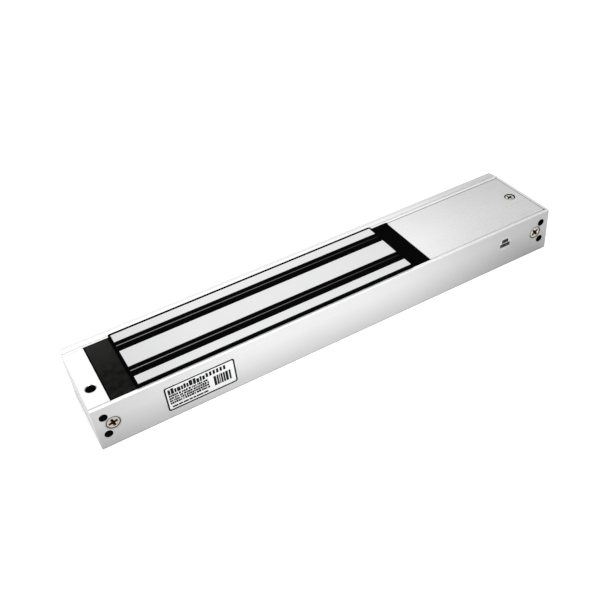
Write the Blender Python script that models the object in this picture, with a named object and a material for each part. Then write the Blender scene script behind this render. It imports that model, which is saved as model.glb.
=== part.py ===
"""Electromagnetic door lock, 280 kg class: channel housing, E core magnet, wiring compartment, mounting plate.

Sizes are in millimetres, measured from the housing's left front bottom corner: X along the lock, Y from
the front face towards the mounting plate, Z up to the magnetic face. The world origin is the middle of the
underside, and every piece is written out in metres.
"""

import math

import bmesh
import bpy
from mathutils import Matrix, Vector

MM = 0.001
GAP = 0.3                 # clearance between pieces that touch

# housing
LENGTH = 250.0
BODY_DEPTH = 42.2
PLATE_THICK = 4.8
HEIGHT = 24.0             # underside to the housing's open face
WALL = 1.5
FLOOR = 2.0
EDGE_ROUND = 0.5
INNER_FRONT = WALL + GAP
INNER_BACK = BODY_DEPTH - WALL - GAP
INNER_FLOOR = FLOOR + GAP
MID_Y = BODY_DEPTH / 2

# magnet
POLE_PROUD = 1.5
POLE_TOP = HEIGHT + POLE_PROUD
CORE_LEFT, CORE_RIGHT = 23.3, 165.0
CENTRE_POLE = 12.0
OUTER_POLE = 5.6
CORE_HALF = 18.5          # middle of the core to the outside of an outer pole
CORE_BOTTOM = 3.9
CORE_BACK_THICK = 6.0
SLOT_FLOOR = CORE_BOTTOM + CORE_BACK_THICK
BOBBIN_WALL = 0.7
BOBBIN_TOP = 21.4
RIM_THICK = 0.5
RIM_END_THICK = 0.7
RIM_BOTTOM = 14.0
SLOT_RESIN_SUNK = 0.3
RIDGE_WIDTH, RIDGE_HEIGHT, RIDGE_SHIFT = 0.5, 0.25, 0.4

# ends
BLOCK_TOP_LENGTH = 10.1   # left block on the magnetic face
BLOCK_LENGTH = 13.5       # both blocks below it
REBATE_DEPTH = 3.0
END_WALL = 1.6            # the right block's lip past the cover

# holes and screws, the same distance in from each end
HEAD_RIM = 0.1            # straight edge of a countersunk head
SINK_GAP = 0.2            # between a head and its countersink
SIDE_HOLE_IN, SIDE_HOLE_RADIUS, SIDE_HOLE_DEPTH = 4.75, 2.0, 8.0
SIDE_HOLE_HEIGHTS = (7.8, 17.9)
BODY_SCREW_IN, BODY_SCREW_HEIGHT = 8.1, 13.05
BODY_SCREW_RADIUS, BODY_HEAD_RADIUS, BODY_HEAD_SUNK = 2.0, 3.3, 0.1
FACE_HOLE = (5.1, 13.6)
FACE_HOLE_RADIUS, FACE_HOLE_DEPTH = 2.45, 7.8

# cover and wiring compartment
COVER_LEFT = 176.0
COVER_THICK = 1.5
COVER_SCREW_X = LENGTH - 8.0
COVER_SCREW_RADIUS, COVER_HEAD_RADIUS, COVER_HEAD_SUNK = 1.5, 2.6, 0.25
TRAY_WALL = 1.0
TRAY_TOP = HEIGHT - COVER_THICK - GAP
CABLE_X, CABLE_Z = 214.0, 14.8
CABLE_BORE = 3.5
WALL_HOLE_RADIUS = 5.0
BOARD_LEFT, BOARD_RIGHT = 181.0, 233.0
BOARD_FRONT, BOARD_BACK = 6.0, 33.0
BOARD_BOTTOM, BOARD_THICK = 8.0, 1.6
BOARD_TOP = BOARD_BOTTOM + BOARD_THICK
POST_INSET = 3.0

# terminal block
TERMINAL_X, TERMINAL_Y = 214.0, 22.0
TERMINAL_PITCH = 5.0
TERMINAL_HEIGHT = 10.0
TERMINAL_DEPTH = 8.4

# selector header
SELECTOR_X, SELECTOR_Y = 196.0, 24.0
PIN_PITCH = 2.54
PIN_ROWS = 3

# labels
LABEL_THICK, LABEL_GAP = 0.2, 0.1
LABEL_STAND = LABEL_THICK + LABEL_GAP
LABEL_X, LABEL_Z = (32.5, 66.4), (4.9, 18.8)
STICKER_X, STICKER_Z, STICKER_RADIUS = 221.8, 14.9, 4.1

# mounting plate
PLATE_FRONT = BODY_DEPTH + GAP
PLATE_BACK = BODY_DEPTH + PLATE_THICK
PLATE_SHORT = 0.6         # the plate's ends stop inside the housing's ends
PLATE_CHAMFER = (2.6, 0.4)
PLATE_SLOT_X, PLATE_SLOT_LENGTH, PLATE_SLOT_RADIUS = 50.0, 14.0, 2.6
PLATE_HOLE_X, PLATE_HOLE_RADIUS, PLATE_SINK_RADIUS = 78.0, 2.3, 4.6
PLATE_CABLE_RADIUS = 7.0

TO_WORLD = Vector((-LENGTH / 2, (LABEL_STAND - BODY_DEPTH - PLATE_THICK) / 2, 0.0))

FINISHES = {
    # name: (colour, roughness, metallic)
    "anodised aluminium": ((0.70, 0.70, 0.71), 0.38, 1.0),
    "plate aluminium": ((0.62, 0.62, 0.63), 0.42, 1.0),
    "ground steel": ((0.78, 0.78, 0.79), 0.25, 1.0),
    "nickel": ((0.62, 0.58, 0.52), 0.30, 1.0),
    "black resin": ((0.012, 0.012, 0.013), 0.45, 0.0),
    "grey resin": ((0.030, 0.030, 0.031), 0.60, 0.0),
    "copper": ((0.72, 0.32, 0.16), 0.35, 1.0),
    "nylon": ((0.80, 0.78, 0.72), 0.50, 0.0),
    "press board": ((0.50, 0.40, 0.25), 0.80, 0.0),
    "tray plastic": ((0.05, 0.05, 0.055), 0.55, 0.0),
    "circuit board": ((0.02, 0.22, 0.10), 0.40, 0.0),
    "terminal plastic": ((0.03, 0.30, 0.12), 0.45, 0.0),
    "brass": ((0.80, 0.62, 0.30), 0.30, 1.0),
    "varistor blue": ((0.05, 0.12, 0.45), 0.45, 0.0),
    "diode black": ((0.02, 0.02, 0.02), 0.40, 0.0),
    "header plastic": ((0.02, 0.02, 0.02), 0.50, 0.0),
    "cap blue": ((0.04, 0.10, 0.40), 0.40, 0.0),
    "lead red": ((0.55, 0.03, 0.03), 0.45, 0.0),
    "lead black": ((0.02, 0.02, 0.02), 0.45, 0.0),
    "lead yellow": ((0.75, 0.60, 0.05), 0.45, 0.0),
    "lead white": ((0.80, 0.80, 0.78), 0.45, 0.0),
    "rubber": ((0.02, 0.02, 0.02), 0.70, 0.0),
    "label film": ((0.78, 0.78, 0.77), 0.35, 0.0),
    "sticker paper": ((0.85, 0.85, 0.84), 0.50, 0.0),
}


def finish(name):
    """The named Principled material, made once."""
    material = bpy.data.materials.get(name)
    if material:
        return material
    colour, roughness, metallic = FINISHES[name]
    material = bpy.data.materials.new(name)
    material.use_nodes = True
    shader = material.node_tree.nodes["Principled BSDF"]
    shader.inputs["Base Color"].default_value = (*colour, 1.0)
    shader.inputs["Roughness"].default_value = roughness
    shader.inputs["Metallic"].default_value = metallic
    material.diffuse_color = (*colour, 1.0)
    return material


# ---------------------------------------------------------------- shapes

def put_axes(axis, along, u, v):
    """A point with one coordinate along the axis and the other two in X, Y, Z order."""
    point = [u, v]
    point.insert("XYZ".index(axis), along)
    return Vector(point)


def prism(bm, outline, axis, low, high, end_scale=1.0, centre=(0.0, 0.0)):
    """A closed outline pushed along an axis; its far end can be scaled about a centre."""
    near = [bm.verts.new(put_axes(axis, low, u, v)) for u, v in outline]
    far = []
    for u, v in outline:
        u_far = centre[0] + (u - centre[0]) * end_scale
        v_far = centre[1] + (v - centre[1]) * end_scale
        far.append(bm.verts.new(put_axes(axis, high, u_far, v_far)))
    bm.faces.new(near)
    bm.faces.new(far[::-1])
    count = len(outline)
    for i in range(count):
        j = (i + 1) % count
        bm.faces.new((near[j], near[i], far[i], far[j]))


def box(bm, low, high):
    """A rectangular block between two corners."""
    outline = [(low[0], low[1]), (high[0], low[1]), (high[0], high[1]), (low[0], high[1])]
    prism(bm, outline, "Z", low[2], high[2])


def turned(bm, profile, axis, centre, segments=32, ring=False):
    """A profile of (radius, place along the axis) turned about an axis.

    A plain profile starts and ends on the axis; a ring's profile closes on itself.
    """
    loops = []
    for radius, along in profile:
        if radius == 0.0:
            loops.append([bm.verts.new(put_axes(axis, along, *centre))])
            continue
        loop = []
        for i in range(segments):
            angle = 2 * math.pi * i / segments
            u = centre[0] + radius * math.cos(angle)
            v = centre[1] + radius * math.sin(angle)
            loop.append(bm.verts.new(put_axes(axis, along, u, v)))
        loops.append(loop)
    pairs = list(zip(loops, loops[1:]))
    if ring:
        pairs.append((loops[-1], loops[0]))
    for lower, upper in pairs:
        for i in range(segments):
            j = (i + 1) % segments
            face = []
            for vert in (lower[i % len(lower)], lower[j % len(lower)],
                         upper[j % len(upper)], upper[i % len(upper)]):
                if vert not in face:
                    face.append(vert)
            bm.faces.new(face)


def rod(bm, radius, axis, centre, low, high, segments=32):
    """A plain cylinder."""
    turned(bm, [(0.0, low), (radius, low), (radius, high), (0.0, high)], axis, centre, segments)


def rounded_outline(low, high, radius, steps=6):
    """A rectangle with round corners, anticlockwise."""
    corners = [((high[0] - radius, high[1] - radius), 0), ((low[0] + radius, high[1] - radius), 90),
               ((low[0] + radius, low[1] + radius), 180), ((high[0] - radius, low[1] + radius), 270)]
    outline = []
    for (u, v), start in corners:
        for i in range(steps + 1):
            angle = math.radians(start + 90 * i / steps)
            outline.append((u + radius * math.cos(angle), v + radius * math.sin(angle)))
    return outline


def racetrack_wall(bm, inner, outer, low, high, inner_radius, outer_radius, steps=6):
    """An upright band between two rounded rectangles, each given as (low corner, high corner)."""
    rings = []
    for (corner_low, corner_high), radius in ((inner, inner_radius), (outer, outer_radius)):
        outline = rounded_outline(corner_low, corner_high, radius, steps)
        rings.append([[bm.verts.new((u, v, z)) for u, v in outline] for z in (low, high)])
    (inner_low, inner_high), (outer_low, outer_high) = rings
    count = len(inner_low)
    for i in range(count):
        j = (i + 1) % count
        bm.faces.new((outer_low[i], outer_low[j], outer_high[j], outer_high[i]))
        bm.faces.new((inner_low[j], inner_low[i], inner_high[i], inner_high[j]))
        bm.faces.new((outer_high[i], outer_high[j], inner_high[j], inner_high[i]))
        bm.faces.new((outer_low[j], outer_low[i], inner_low[i], inner_low[j]))


def make(name, bm, finish_name=None, origin=(0.0, 0.0, 0.0)):
    """An object from a mesh in millimetres, with its origin at a point of the lock."""
    bmesh.ops.recalc_face_normals(bm, faces=bm.faces[:])
    bm.transform(Matrix.Scale(MM, 4) @ Matrix.Translation(-Vector(origin)))
    mesh = bpy.data.meshes.new(name)
    bm.to_mesh(mesh)
    bm.free()
    mesh.shade_smooth()
    mesh.set_sharp_from_angle(angle=math.radians(35))
    piece = bpy.data.objects.new(name, mesh)
    piece.location = (Vector(origin) + TO_WORLD) * MM
    bpy.context.scene.collection.objects.link(piece)
    if finish_name:
        mesh.materials.append(finish(finish_name))
    return piece


def combine(piece, tool_mesh, operation):
    """Cuts or joins a hidden tool shape with a piece."""
    tool = make(f"{piece.name}_tool", tool_mesh)
    tool.hide_render = True
    tool.display_type = "WIRE"
    modifier = piece.modifiers.new(operation.title(), "BOOLEAN")
    modifier.operation = operation
    modifier.solver = "EXACT"
    modifier.object = tool


def cut(piece, tool_mesh):
    combine(piece, tool_mesh, "DIFFERENCE")


def join(piece, tool_mesh):
    combine(piece, tool_mesh, "UNION")


def drill(piece, radius, axis, centre, low, high, segments=32):
    """A round hole."""
    bm = bmesh.new()
    rod(bm, radius, axis, centre, low, high, segments)
    cut(piece, bm)


def sink(piece, profile, axis, centre, segments=32):
    """A turned recess, such as a countersink."""
    bm = bmesh.new()
    turned(bm, profile, axis, centre, segments)
    cut(piece, bm)


def countersink(piece, axis, centre, face, down, radius, head_radius, sunk, reach):
    """A clearance hole with a 90 degree mouth for a head that lies below a face."""
    mouth = head_radius + SINK_GAP + sunk + HEAD_RIM
    hole = radius + GAP
    sink(piece, [(0.0, face - down), (mouth + 1.0, face - down), (hole, face + down * (mouth - hole)),
                 (hole, face + down * reach), (0.0, face + down * reach)], axis, centre)


def ends():
    """Left and right, with the way in from each end."""
    return (("left", 0.0, 1.0), ("right", LENGTH, -1.0))


# ---------------------------------------------------------------- housing and ends

def housing_channel():
    """The U channel, open at the top, with its outer edges rounded."""
    outline = []
    for u, v, start in ((EDGE_ROUND, EDGE_ROUND, 180), (BODY_DEPTH - EDGE_ROUND, EDGE_ROUND, 270),
                        (BODY_DEPTH - EDGE_ROUND, HEIGHT - EDGE_ROUND, 0)):
        for i in range(5):
            angle = math.radians(start + 90 * i / 4)
            outline.append((u + EDGE_ROUND * math.cos(angle), v + EDGE_ROUND * math.sin(angle)))
    outline += [(BODY_DEPTH - WALL, HEIGHT), (BODY_DEPTH - WALL, FLOOR), (WALL, FLOOR), (WALL, HEIGHT)]
    for i in range(5):
        angle = math.radians(90 + 90 * i / 4)
        outline.append((EDGE_ROUND + EDGE_ROUND * math.cos(angle),
                        HEIGHT - EDGE_ROUND + EDGE_ROUND * math.sin(angle)))
    bm = bmesh.new()
    prism(bm, outline, "X", 0.0, LENGTH)
    channel = make("housing_channel", bm, "anodised aluminium")
    for _, end, inward in ends():
        for height in SIDE_HOLE_HEIGHTS:
            drill(channel, SIDE_HOLE_RADIUS, "Y", (end + inward * SIDE_HOLE_IN, height), -1.0, WALL + 1.0)
        place = (end + inward * BODY_SCREW_IN, BODY_SCREW_HEIGHT)
        countersink(channel, "Y", place, 0.0, 1.0, BODY_SCREW_RADIUS, BODY_HEAD_RADIUS, BODY_HEAD_SUNK,
                    BODY_DEPTH + 1.0)
    drill(channel, WALL_HOLE_RADIUS, "Y", (CABLE_X, CABLE_Z), BODY_DEPTH - WALL - 1.0, BODY_DEPTH + 1.0)


def end_block(name, outline):
    """A solid end piece with its side holes and the passage of the body screw."""
    bm = bmesh.new()
    prism(bm, outline, "Y", INNER_FRONT, INNER_BACK)
    block = make(name, bm, "anodised aluminium")
    bevel = block.modifiers.new("Edges", "BEVEL")
    bevel.width = 0.15 * MM
    bevel.segments = 2
    bevel.limit_method = "ANGLE"
    _, end, inward = ends()[name.startswith("right")]
    for height in SIDE_HOLE_HEIGHTS:
        drill(block, SIDE_HOLE_RADIUS, "Y", (end + inward * SIDE_HOLE_IN, height), 0.0, SIDE_HOLE_DEPTH)
    drill(block, BODY_SCREW_RADIUS + GAP, "Y", (end + inward * BODY_SCREW_IN, BODY_SCREW_HEIGHT),
          0.0, BODY_DEPTH)
    return block


def left_end_block():
    step = HEIGHT - REBATE_DEPTH - GAP
    outline = [(0.0, INNER_FLOOR), (BLOCK_LENGTH, INNER_FLOOR), (BLOCK_LENGTH, step),
               (BLOCK_TOP_LENGTH, step), (BLOCK_TOP_LENGTH, HEIGHT), (0.0, HEIGHT)]
    block = end_block("left_end_block", outline)
    low = HEIGHT - FACE_HOLE_DEPTH
    sink(block, [(0.0, low), (FACE_HOLE_RADIUS, low), (FACE_HOLE_RADIUS, HEIGHT - 0.3),
                 (FACE_HOLE_RADIUS + 0.5, HEIGHT + 0.2), (0.0, HEIGHT + 0.2)], "Z", FACE_HOLE)


def right_end_block():
    seat = HEIGHT - COVER_THICK - GAP
    outline = [(LENGTH - BLOCK_LENGTH, INNER_FLOOR), (LENGTH, INNER_FLOOR), (LENGTH, HEIGHT),
               (LENGTH - END_WALL, HEIGHT), (LENGTH - END_WALL, seat), (LENGTH - BLOCK_LENGTH, seat)]
    block = end_block("right_end_block", outline)
    drill(block, COVER_SCREW_RADIUS + GAP / 2, "Z", (COVER_SCREW_X, MID_Y), 15.8, HEIGHT + 1.0)


# ---------------------------------------------------------------- screws

def cross_recess(across, arm, axis, centre, mouth, bottom):
    """A cross-shaped recess that narrows towards its bottom."""
    long, short = across / 2, arm / 2
    outline = []
    for quarter in range(4):
        turn = Matrix.Rotation(math.pi / 2 * quarter + math.pi / 5, 2)
        for u, v in ((long, -short), (long, short), (short * 1.5, short * 1.5)):
            point = turn @ Vector((u, v))
            outline.append((centre[0] + point.x, centre[1] + point.y))
    bm = bmesh.new()
    prism(bm, outline, axis, mouth, bottom, end_scale=0.45, centre=centre)
    return bm


def countersunk_screw(name, axis, centre, top, down, tip, radius, head_radius):
    """A cross-head screw; top is its head's flat, down is -1 or 1 towards its tip along the axis."""
    cone = head_radius - radius
    origin = put_axes(axis, top, *centre)
    bm = bmesh.new()
    profile = [(0.0, top), (head_radius, top), (head_radius, top + down * HEAD_RIM),
               (radius, top + down * (cone + HEAD_RIM)), (radius, tip - down * radius * 0.4),
               (radius * 0.6, tip), (0.0, tip)]
    turned(bm, profile, axis, centre)
    screw = make(name, bm, "nickel", origin)
    cut(screw, cross_recess(head_radius * 1.28, head_radius * 0.26, axis, centre,
                            top - down * 0.4, top + down * 1.5))


def body_screws():
    """The long countersunk screws that hold the lock to its mounting plate."""
    for side, end, inward in ends():
        place = (end + inward * BODY_SCREW_IN, BODY_SCREW_HEIGHT)
        countersunk_screw(f"body_screw_{side}", "Y", place, BODY_HEAD_SUNK, 1.0, PLATE_BACK - 0.8,
                          BODY_SCREW_RADIUS, BODY_HEAD_RADIUS)


# ---------------------------------------------------------------- magnet

def e_core():
    """The steel core: a back and three poles."""
    half, centre = CORE_HALF, CENTRE_POLE / 2
    inner = half - OUTER_POLE
    outline = [(-half, CORE_BOTTOM), (half, CORE_BOTTOM), (half, POLE_TOP), (inner, POLE_TOP),
               (inner, SLOT_FLOOR), (centre, SLOT_FLOOR), (centre, POLE_TOP), (-centre, POLE_TOP),
               (-centre, SLOT_FLOOR), (-inner, SLOT_FLOOR), (-inner, POLE_TOP), (-half, POLE_TOP)]
    bm = bmesh.new()
    prism(bm, [(MID_Y + u, v) for u, v in outline], "X", CORE_LEFT, CORE_RIGHT)
    core = make("e_core", bm, "ground steel")
    bevel = core.modifiers.new("Edges", "BEVEL")
    bevel.width = 0.12 * MM
    bevel.segments = 1
    bevel.limit_method = "ANGLE"


def around_pole(margin):
    """The rectangle that lies a margin outside the centre pole, as two corners."""
    half = CENTRE_POLE / 2 + margin
    return ((CORE_LEFT - margin, MID_Y - half), (CORE_RIGHT + margin, MID_Y + half))


COIL_INNER = GAP + BOBBIN_WALL + GAP
COIL_OUTER = CORE_HALF - OUTER_POLE - CENTRE_POLE / 2 - GAP - 0.2
FLANGE_OUTER = COIL_OUTER + 0.2


def coil_bobbin():
    """The former: a sleeve round the centre pole with a flange at each end."""
    low = SLOT_FLOOR + GAP
    bm = bmesh.new()
    racetrack_wall(bm, around_pole(GAP), around_pole(GAP + BOBBIN_WALL), low, BOBBIN_TOP, 0.3, 0.8)
    bobbin = make("coil_bobbin", bm, "nylon")
    for bottom in (low, BOBBIN_TOP - BOBBIN_WALL):
        flange = bmesh.new()
        racetrack_wall(flange, around_pole(GAP + BOBBIN_WALL / 2), around_pole(FLANGE_OUTER),
                       bottom, bottom + BOBBIN_WALL, 0.5, 6.0)
        join(bobbin, flange)


def coil_winding():
    """The copper winding between the bobbin's flanges."""
    low = SLOT_FLOOR + GAP + BOBBIN_WALL + GAP
    high = BOBBIN_TOP - BOBBIN_WALL - GAP
    bm = bmesh.new()
    racetrack_wall(bm, around_pole(COIL_INNER), around_pole(COIL_OUTER), low, high, 1.2, 5.6)
    make("coil_winding", bm, "copper")


def core_bed():
    """The insulating board between the core and the channel's floor."""
    bm = bmesh.new()
    box(bm, (CORE_LEFT - 0.5, INNER_FRONT + 0.2, INNER_FLOOR),
        (CORE_RIGHT + 0.5, INNER_BACK - 0.2, CORE_BOTTOM - GAP))
    make("core_bed", bm, "press board")


def core_surround():
    """The resin rim round the core, flush with the poles."""
    side_low, side_high = MID_Y - CORE_HALF - GAP, MID_Y + CORE_HALF + GAP
    inner = ((CORE_LEFT - GAP, side_low), (CORE_RIGHT + GAP, side_high))
    outer = ((CORE_LEFT - GAP - RIM_END_THICK, side_low - RIM_THICK),
             (CORE_RIGHT + GAP + RIM_END_THICK, side_high + RIM_THICK))
    bm = bmesh.new()
    racetrack_wall(bm, inner, outer, RIM_BOTTOM, POLE_TOP, 0.2, 0.3, steps=2)
    rim = make("core_surround", bm, "black resin")
    notch = bmesh.new()
    box(notch, (CORE_LEFT - 8.0, MID_Y - CORE_HALF + OUTER_POLE - GAP, RIM_BOTTOM - 1.0),
        (CORE_RIGHT + 8.0, MID_Y + CORE_HALF - OUTER_POLE + GAP, BOBBIN_TOP + GAP))
    cut(rim, notch)


def slot_resin():
    """The resin strips that close the slots, each with a fine ridge along it."""
    top = POLE_TOP - SLOT_RESIN_SUNK
    low = BOBBIN_TOP + GAP
    half = (CORE_HALF - OUTER_POLE - CENTRE_POLE / 2) / 2
    for name, side in (("slot_resin_near", -1.0), ("slot_resin_far", 1.0)):
        middle = MID_Y + side * (CENTRE_POLE / 2 + half)
        ridge = middle + RIDGE_SHIFT
        outline = [(middle - half + GAP, low), (middle + half - GAP, low), (middle + half - GAP, top),
                   (ridge + RIDGE_WIDTH, top), (ridge + RIDGE_WIDTH / 4, top + RIDGE_HEIGHT),
                   (ridge - RIDGE_WIDTH / 4, top + RIDGE_HEIGHT), (ridge - RIDGE_WIDTH, top),
                   (middle - half + GAP, top)]
        bm = bmesh.new()
        prism(bm, outline, "X", CORE_LEFT, CORE_RIGHT)
        make(name, bm, "black resin")


def resin_block(name, finish_name, outline, pocket):
    """A potted end of the magnet, hollow where the coil's turn sits."""
    bm = bmesh.new()
    prism(bm, outline, "Y", INNER_FRONT, INNER_BACK)
    block = make(name, bm, finish_name)
    half = CENTRE_POLE / 2 + FLANGE_OUTER + GAP
    hollow = bmesh.new()
    box(hollow, (pocket[0], MID_Y - half, SLOT_FLOOR), (pocket[1], MID_Y + half, BOBBIN_TOP + GAP))
    cut(block, hollow)


def resin_blocks():
    rim_left = CORE_LEFT - GAP - RIM_END_THICK
    rim_right = CORE_RIGHT + GAP + RIM_END_THICK
    step = HEIGHT - REBATE_DEPTH
    left, right = rim_left - GAP, rim_right + GAP
    outline = [(BLOCK_LENGTH + GAP, INNER_FLOOR), (left, INNER_FLOOR), (left, HEIGHT),
               (BLOCK_TOP_LENGTH + GAP, HEIGHT), (BLOCK_TOP_LENGTH + GAP, step), (BLOCK_LENGTH + GAP, step)]
    resin_block("left_resin_block", "grey resin", outline,
                (CORE_LEFT - FLANGE_OUTER - GAP, left + 1.0))
    outline = [(right, INNER_FLOOR), (COVER_LEFT - GAP, INNER_FLOOR), (COVER_LEFT - GAP, HEIGHT),
               (right, HEIGHT)]
    resin_block("right_resin_block", "black resin", outline,
                (right - 1.0, CORE_RIGHT + FLANGE_OUTER + GAP))


# ---------------------------------------------------------------- cover and wiring compartment

def cover_plate():
    """The flat lid, with a countersunk hole for its screw."""
    right = LENGTH - END_WALL - GAP
    place = (COVER_SCREW_X, MID_Y)
    bm = bmesh.new()
    prism(bm, rounded_outline((COVER_LEFT, INNER_FRONT), (right, INNER_BACK), 0.4, 2), "Z",
          HEIGHT - COVER_THICK, HEIGHT)
    cover = make("cover_plate", bm, "anodised aluminium")
    bevel = cover.modifiers.new("Edges", "BEVEL")
    bevel.width = 0.15 * MM
    bevel.segments = 2
    bevel.limit_method = "ANGLE"
    bevel.angle_limit = math.radians(60)
    countersink(cover, "Z", place, HEIGHT, -1.0, COVER_SCREW_RADIUS, COVER_HEAD_RADIUS, COVER_HEAD_SUNK,
                COVER_THICK + 1.0)
    countersunk_screw("cover_screw", "Z", place, HEIGHT - COVER_HEAD_SUNK, -1.0, 16.2,
                      COVER_SCREW_RADIUS, COVER_HEAD_RADIUS)


def tray_span():
    """The tray's outer low and high corners."""
    return ((COVER_LEFT + GAP, INNER_FRONT, INNER_FLOOR), (LENGTH - BLOCK_LENGTH - GAP, INNER_BACK, TRAY_TOP))


def post_places():
    """The board's four posts."""
    return [(x, y) for x in (BOARD_LEFT + POST_INSET, BOARD_RIGHT - POST_INSET)
            for y in (BOARD_FRONT + POST_INSET, BOARD_BACK - POST_INSET)]


def wiring_tray():
    """The plastic liner with posts for the board, a notch for the leads and a hole for the bush."""
    low, high = tray_span()
    inner_low = [value + TRAY_WALL for value in low]
    bm = bmesh.new()
    box(bm, low, high)
    tray = make("wiring_tray", bm, "tray plastic")
    hollow = bmesh.new()
    box(hollow, inner_low, (high[0] - TRAY_WALL, high[1] - TRAY_WALL, high[2] + 1.0))
    cut(tray, hollow)
    notch = bmesh.new()
    box(notch, (low[0] - 1.0, MID_Y - 9.0, 13.0), (inner_low[0] + 0.5, MID_Y + 9.0, high[2] + 1.0))
    cut(tray, notch)
    drill(tray, WALL_HOLE_RADIUS + 1.6, "Y", (CABLE_X, CABLE_Z), high[1] - TRAY_WALL - 1.0, high[1] + 1.0)
    posts = bmesh.new()
    for place in post_places():
        rod(posts, 2.6, "Z", place, inner_low[2] - 0.4, BOARD_BOTTOM - GAP, 20)
    join(tray, posts)
    pilots = bmesh.new()
    for place in post_places():
        rod(pilots, 1.3, "Z", place, inner_low[2] + 0.8, BOARD_BOTTOM + 1.0, 16)
    cut(tray, pilots)


def circuit_board():
    """The board, with a hole over each post."""
    bm = bmesh.new()
    prism(bm, rounded_outline((BOARD_LEFT, BOARD_FRONT), (BOARD_RIGHT, BOARD_BACK), 1.0, 3), "Z",
          BOARD_BOTTOM, BOARD_TOP)
    board = make("circuit_board", bm, "circuit board")
    holes = bmesh.new()
    for place in post_places():
        rod(holes, 1.4, "Z", place, BOARD_BOTTOM - 1.0, BOARD_TOP + 1.0, 16)
    cut(board, holes)


def board_screws():
    """The four slotted screws that hold the board to its posts."""
    tip, head = INNER_FLOOR + TRAY_WALL + 1.4, BOARD_TOP + GAP
    for number, (x, y) in enumerate(post_places(), start=1):
        bm = bmesh.new()
        turned(bm, [(0.0, tip), (0.9, tip + 0.4), (0.9, head), (2.2, head), (2.2, head + 0.9),
                    (1.5, head + 1.5), (0.0, head + 1.6)], "Z", (x, y), 16)
        screw = make(f"board_screw_{number}", bm, "nickel", (x, y, head))
        slot = bmesh.new()
        box(slot, (x - 1.6, y - 0.25, head + 0.8), (x + 1.6, y + 0.25, head + 3.0))
        cut(screw, slot)


def terminal_ways():
    """The two ways of the terminal block and their middles along the lock."""
    return (("left", TERMINAL_X - TERMINAL_PITCH / 2), ("right", TERMINAL_X + TERMINAL_PITCH / 2))


def terminal_block():
    """The two-way block with its screw wells and wire mouths."""
    low = BOARD_TOP + GAP
    top = low + TERMINAL_HEIGHT
    bm = bmesh.new()
    half = TERMINAL_DEPTH / 2
    outline = [(TERMINAL_Y - half, low), (TERMINAL_Y + half, low), (TERMINAL_Y + half, low + 6.4),
               (TERMINAL_Y + half - 1.4, top), (TERMINAL_Y - half + 1.4, top), (TERMINAL_Y - half, low + 6.4)]
    prism(bm, outline, "X", TERMINAL_X - TERMINAL_PITCH - 0.2, TERMINAL_X + TERMINAL_PITCH + 0.2)
    block = make("terminal_block", bm, "terminal plastic")
    for _, x in terminal_ways():
        cage = bmesh.new()
        box(cage, (x - 2.1, TERMINAL_Y - 2.2, low + 0.8), (x + 2.1, TERMINAL_Y + half + 1.0, low + 7.3))
        cut(block, cage)
        drill(block, 1.95, "Z", (x, TERMINAL_Y), low + 2.0, top + 1.0, 20)


def terminal_clamps():
    """Rising cages and their screws: a screw only turns, and its cage climbs on the thread."""
    low = BOARD_TOP + GAP + 1.1
    for side, x in terminal_ways():
        bm = bmesh.new()
        box(bm, (x - 1.75, TERMINAL_Y - 1.75, low), (x + 1.75, TERMINAL_Y + 1.75, low + 3.9))
        clamp = make(f"terminal_clamp_{side}", bm, "brass", (x, TERMINAL_Y, low))
        window = bmesh.new()
        box(window, (x - 1.25, TERMINAL_Y - 3.0, low + 0.6), (x + 1.25, TERMINAL_Y + 3.0, low + 2.9))
        cut(clamp, window)
        drill(clamp, 1.2, "Z", (x, TERMINAL_Y), low + 2.0, low + 5.0, 16)
        tip, head, top = low + 3.2, low + 6.6, low + 8.2
        screw_mesh = bmesh.new()
        turned(screw_mesh, [(0.0, tip), (0.9, tip), (0.9, head), (1.6, head), (1.6, top - 0.2),
                            (1.4, top), (0.0, top)], "Z", (x, TERMINAL_Y), 20)
        screw = make(f"terminal_screw_{side}", screw_mesh, "nickel", (x, TERMINAL_Y, head))
        slot = bmesh.new()
        box(slot, (x - 2.5, TERMINAL_Y - 0.25, top - 0.8), (x + 2.5, TERMINAL_Y + 0.25, top + 1.0))
        cut(screw, slot)


def surge_varistor():
    """The disc across the supply, standing on its two legs."""
    x, y, low = 225.0, 15.0, BOARD_TOP + GAP
    bm = bmesh.new()
    turned(bm, [(0.0, y - 2.0), (4.0, y - 2.0), (4.6, y - 1.4), (4.6, y + 1.4), (4.0, y + 2.0),
                (0.0, y + 2.0)], "Y", (x, low + 6.2), 28)
    disc = make("surge_varistor", bm, "varistor blue")
    legs = bmesh.new()
    for offset in (-2.5, 2.5):
        rod(legs, 0.4, "Z", (x + offset, y), low, low + 5.0, 12)
    join(disc, legs)


def flyback_diode():
    """The diode across the coil, lying on bent legs."""
    x, y, low = 203.0, 11.0, BOARD_TOP + GAP
    bm = bmesh.new()
    turned(bm, [(0.0, x - 6.4), (0.45, x - 6.4), (0.45, x - 4.6), (2.4, x - 4.6), (2.4, x + 4.6),
                (0.45, x + 4.6), (0.45, x + 6.4), (0.0, x + 6.4)], "X", (y, low + 3.2), 20)
    diode = make("flyback_diode", bm, "diode black")
    legs = bmesh.new()
    for offset in (-6.1, 6.1):
        rod(legs, 0.42, "Z", (x + offset, y), low, low + 3.4, 12)
    join(diode, legs)


def selector_pin_places():
    """Two pins side by side in each row of the selector."""
    return [(SELECTOR_X + side * PIN_PITCH / 2, SELECTOR_Y + (row - (PIN_ROWS - 1) / 2) * PIN_PITCH)
            for row in range(PIN_ROWS) for side in (-1, 1)]


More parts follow.
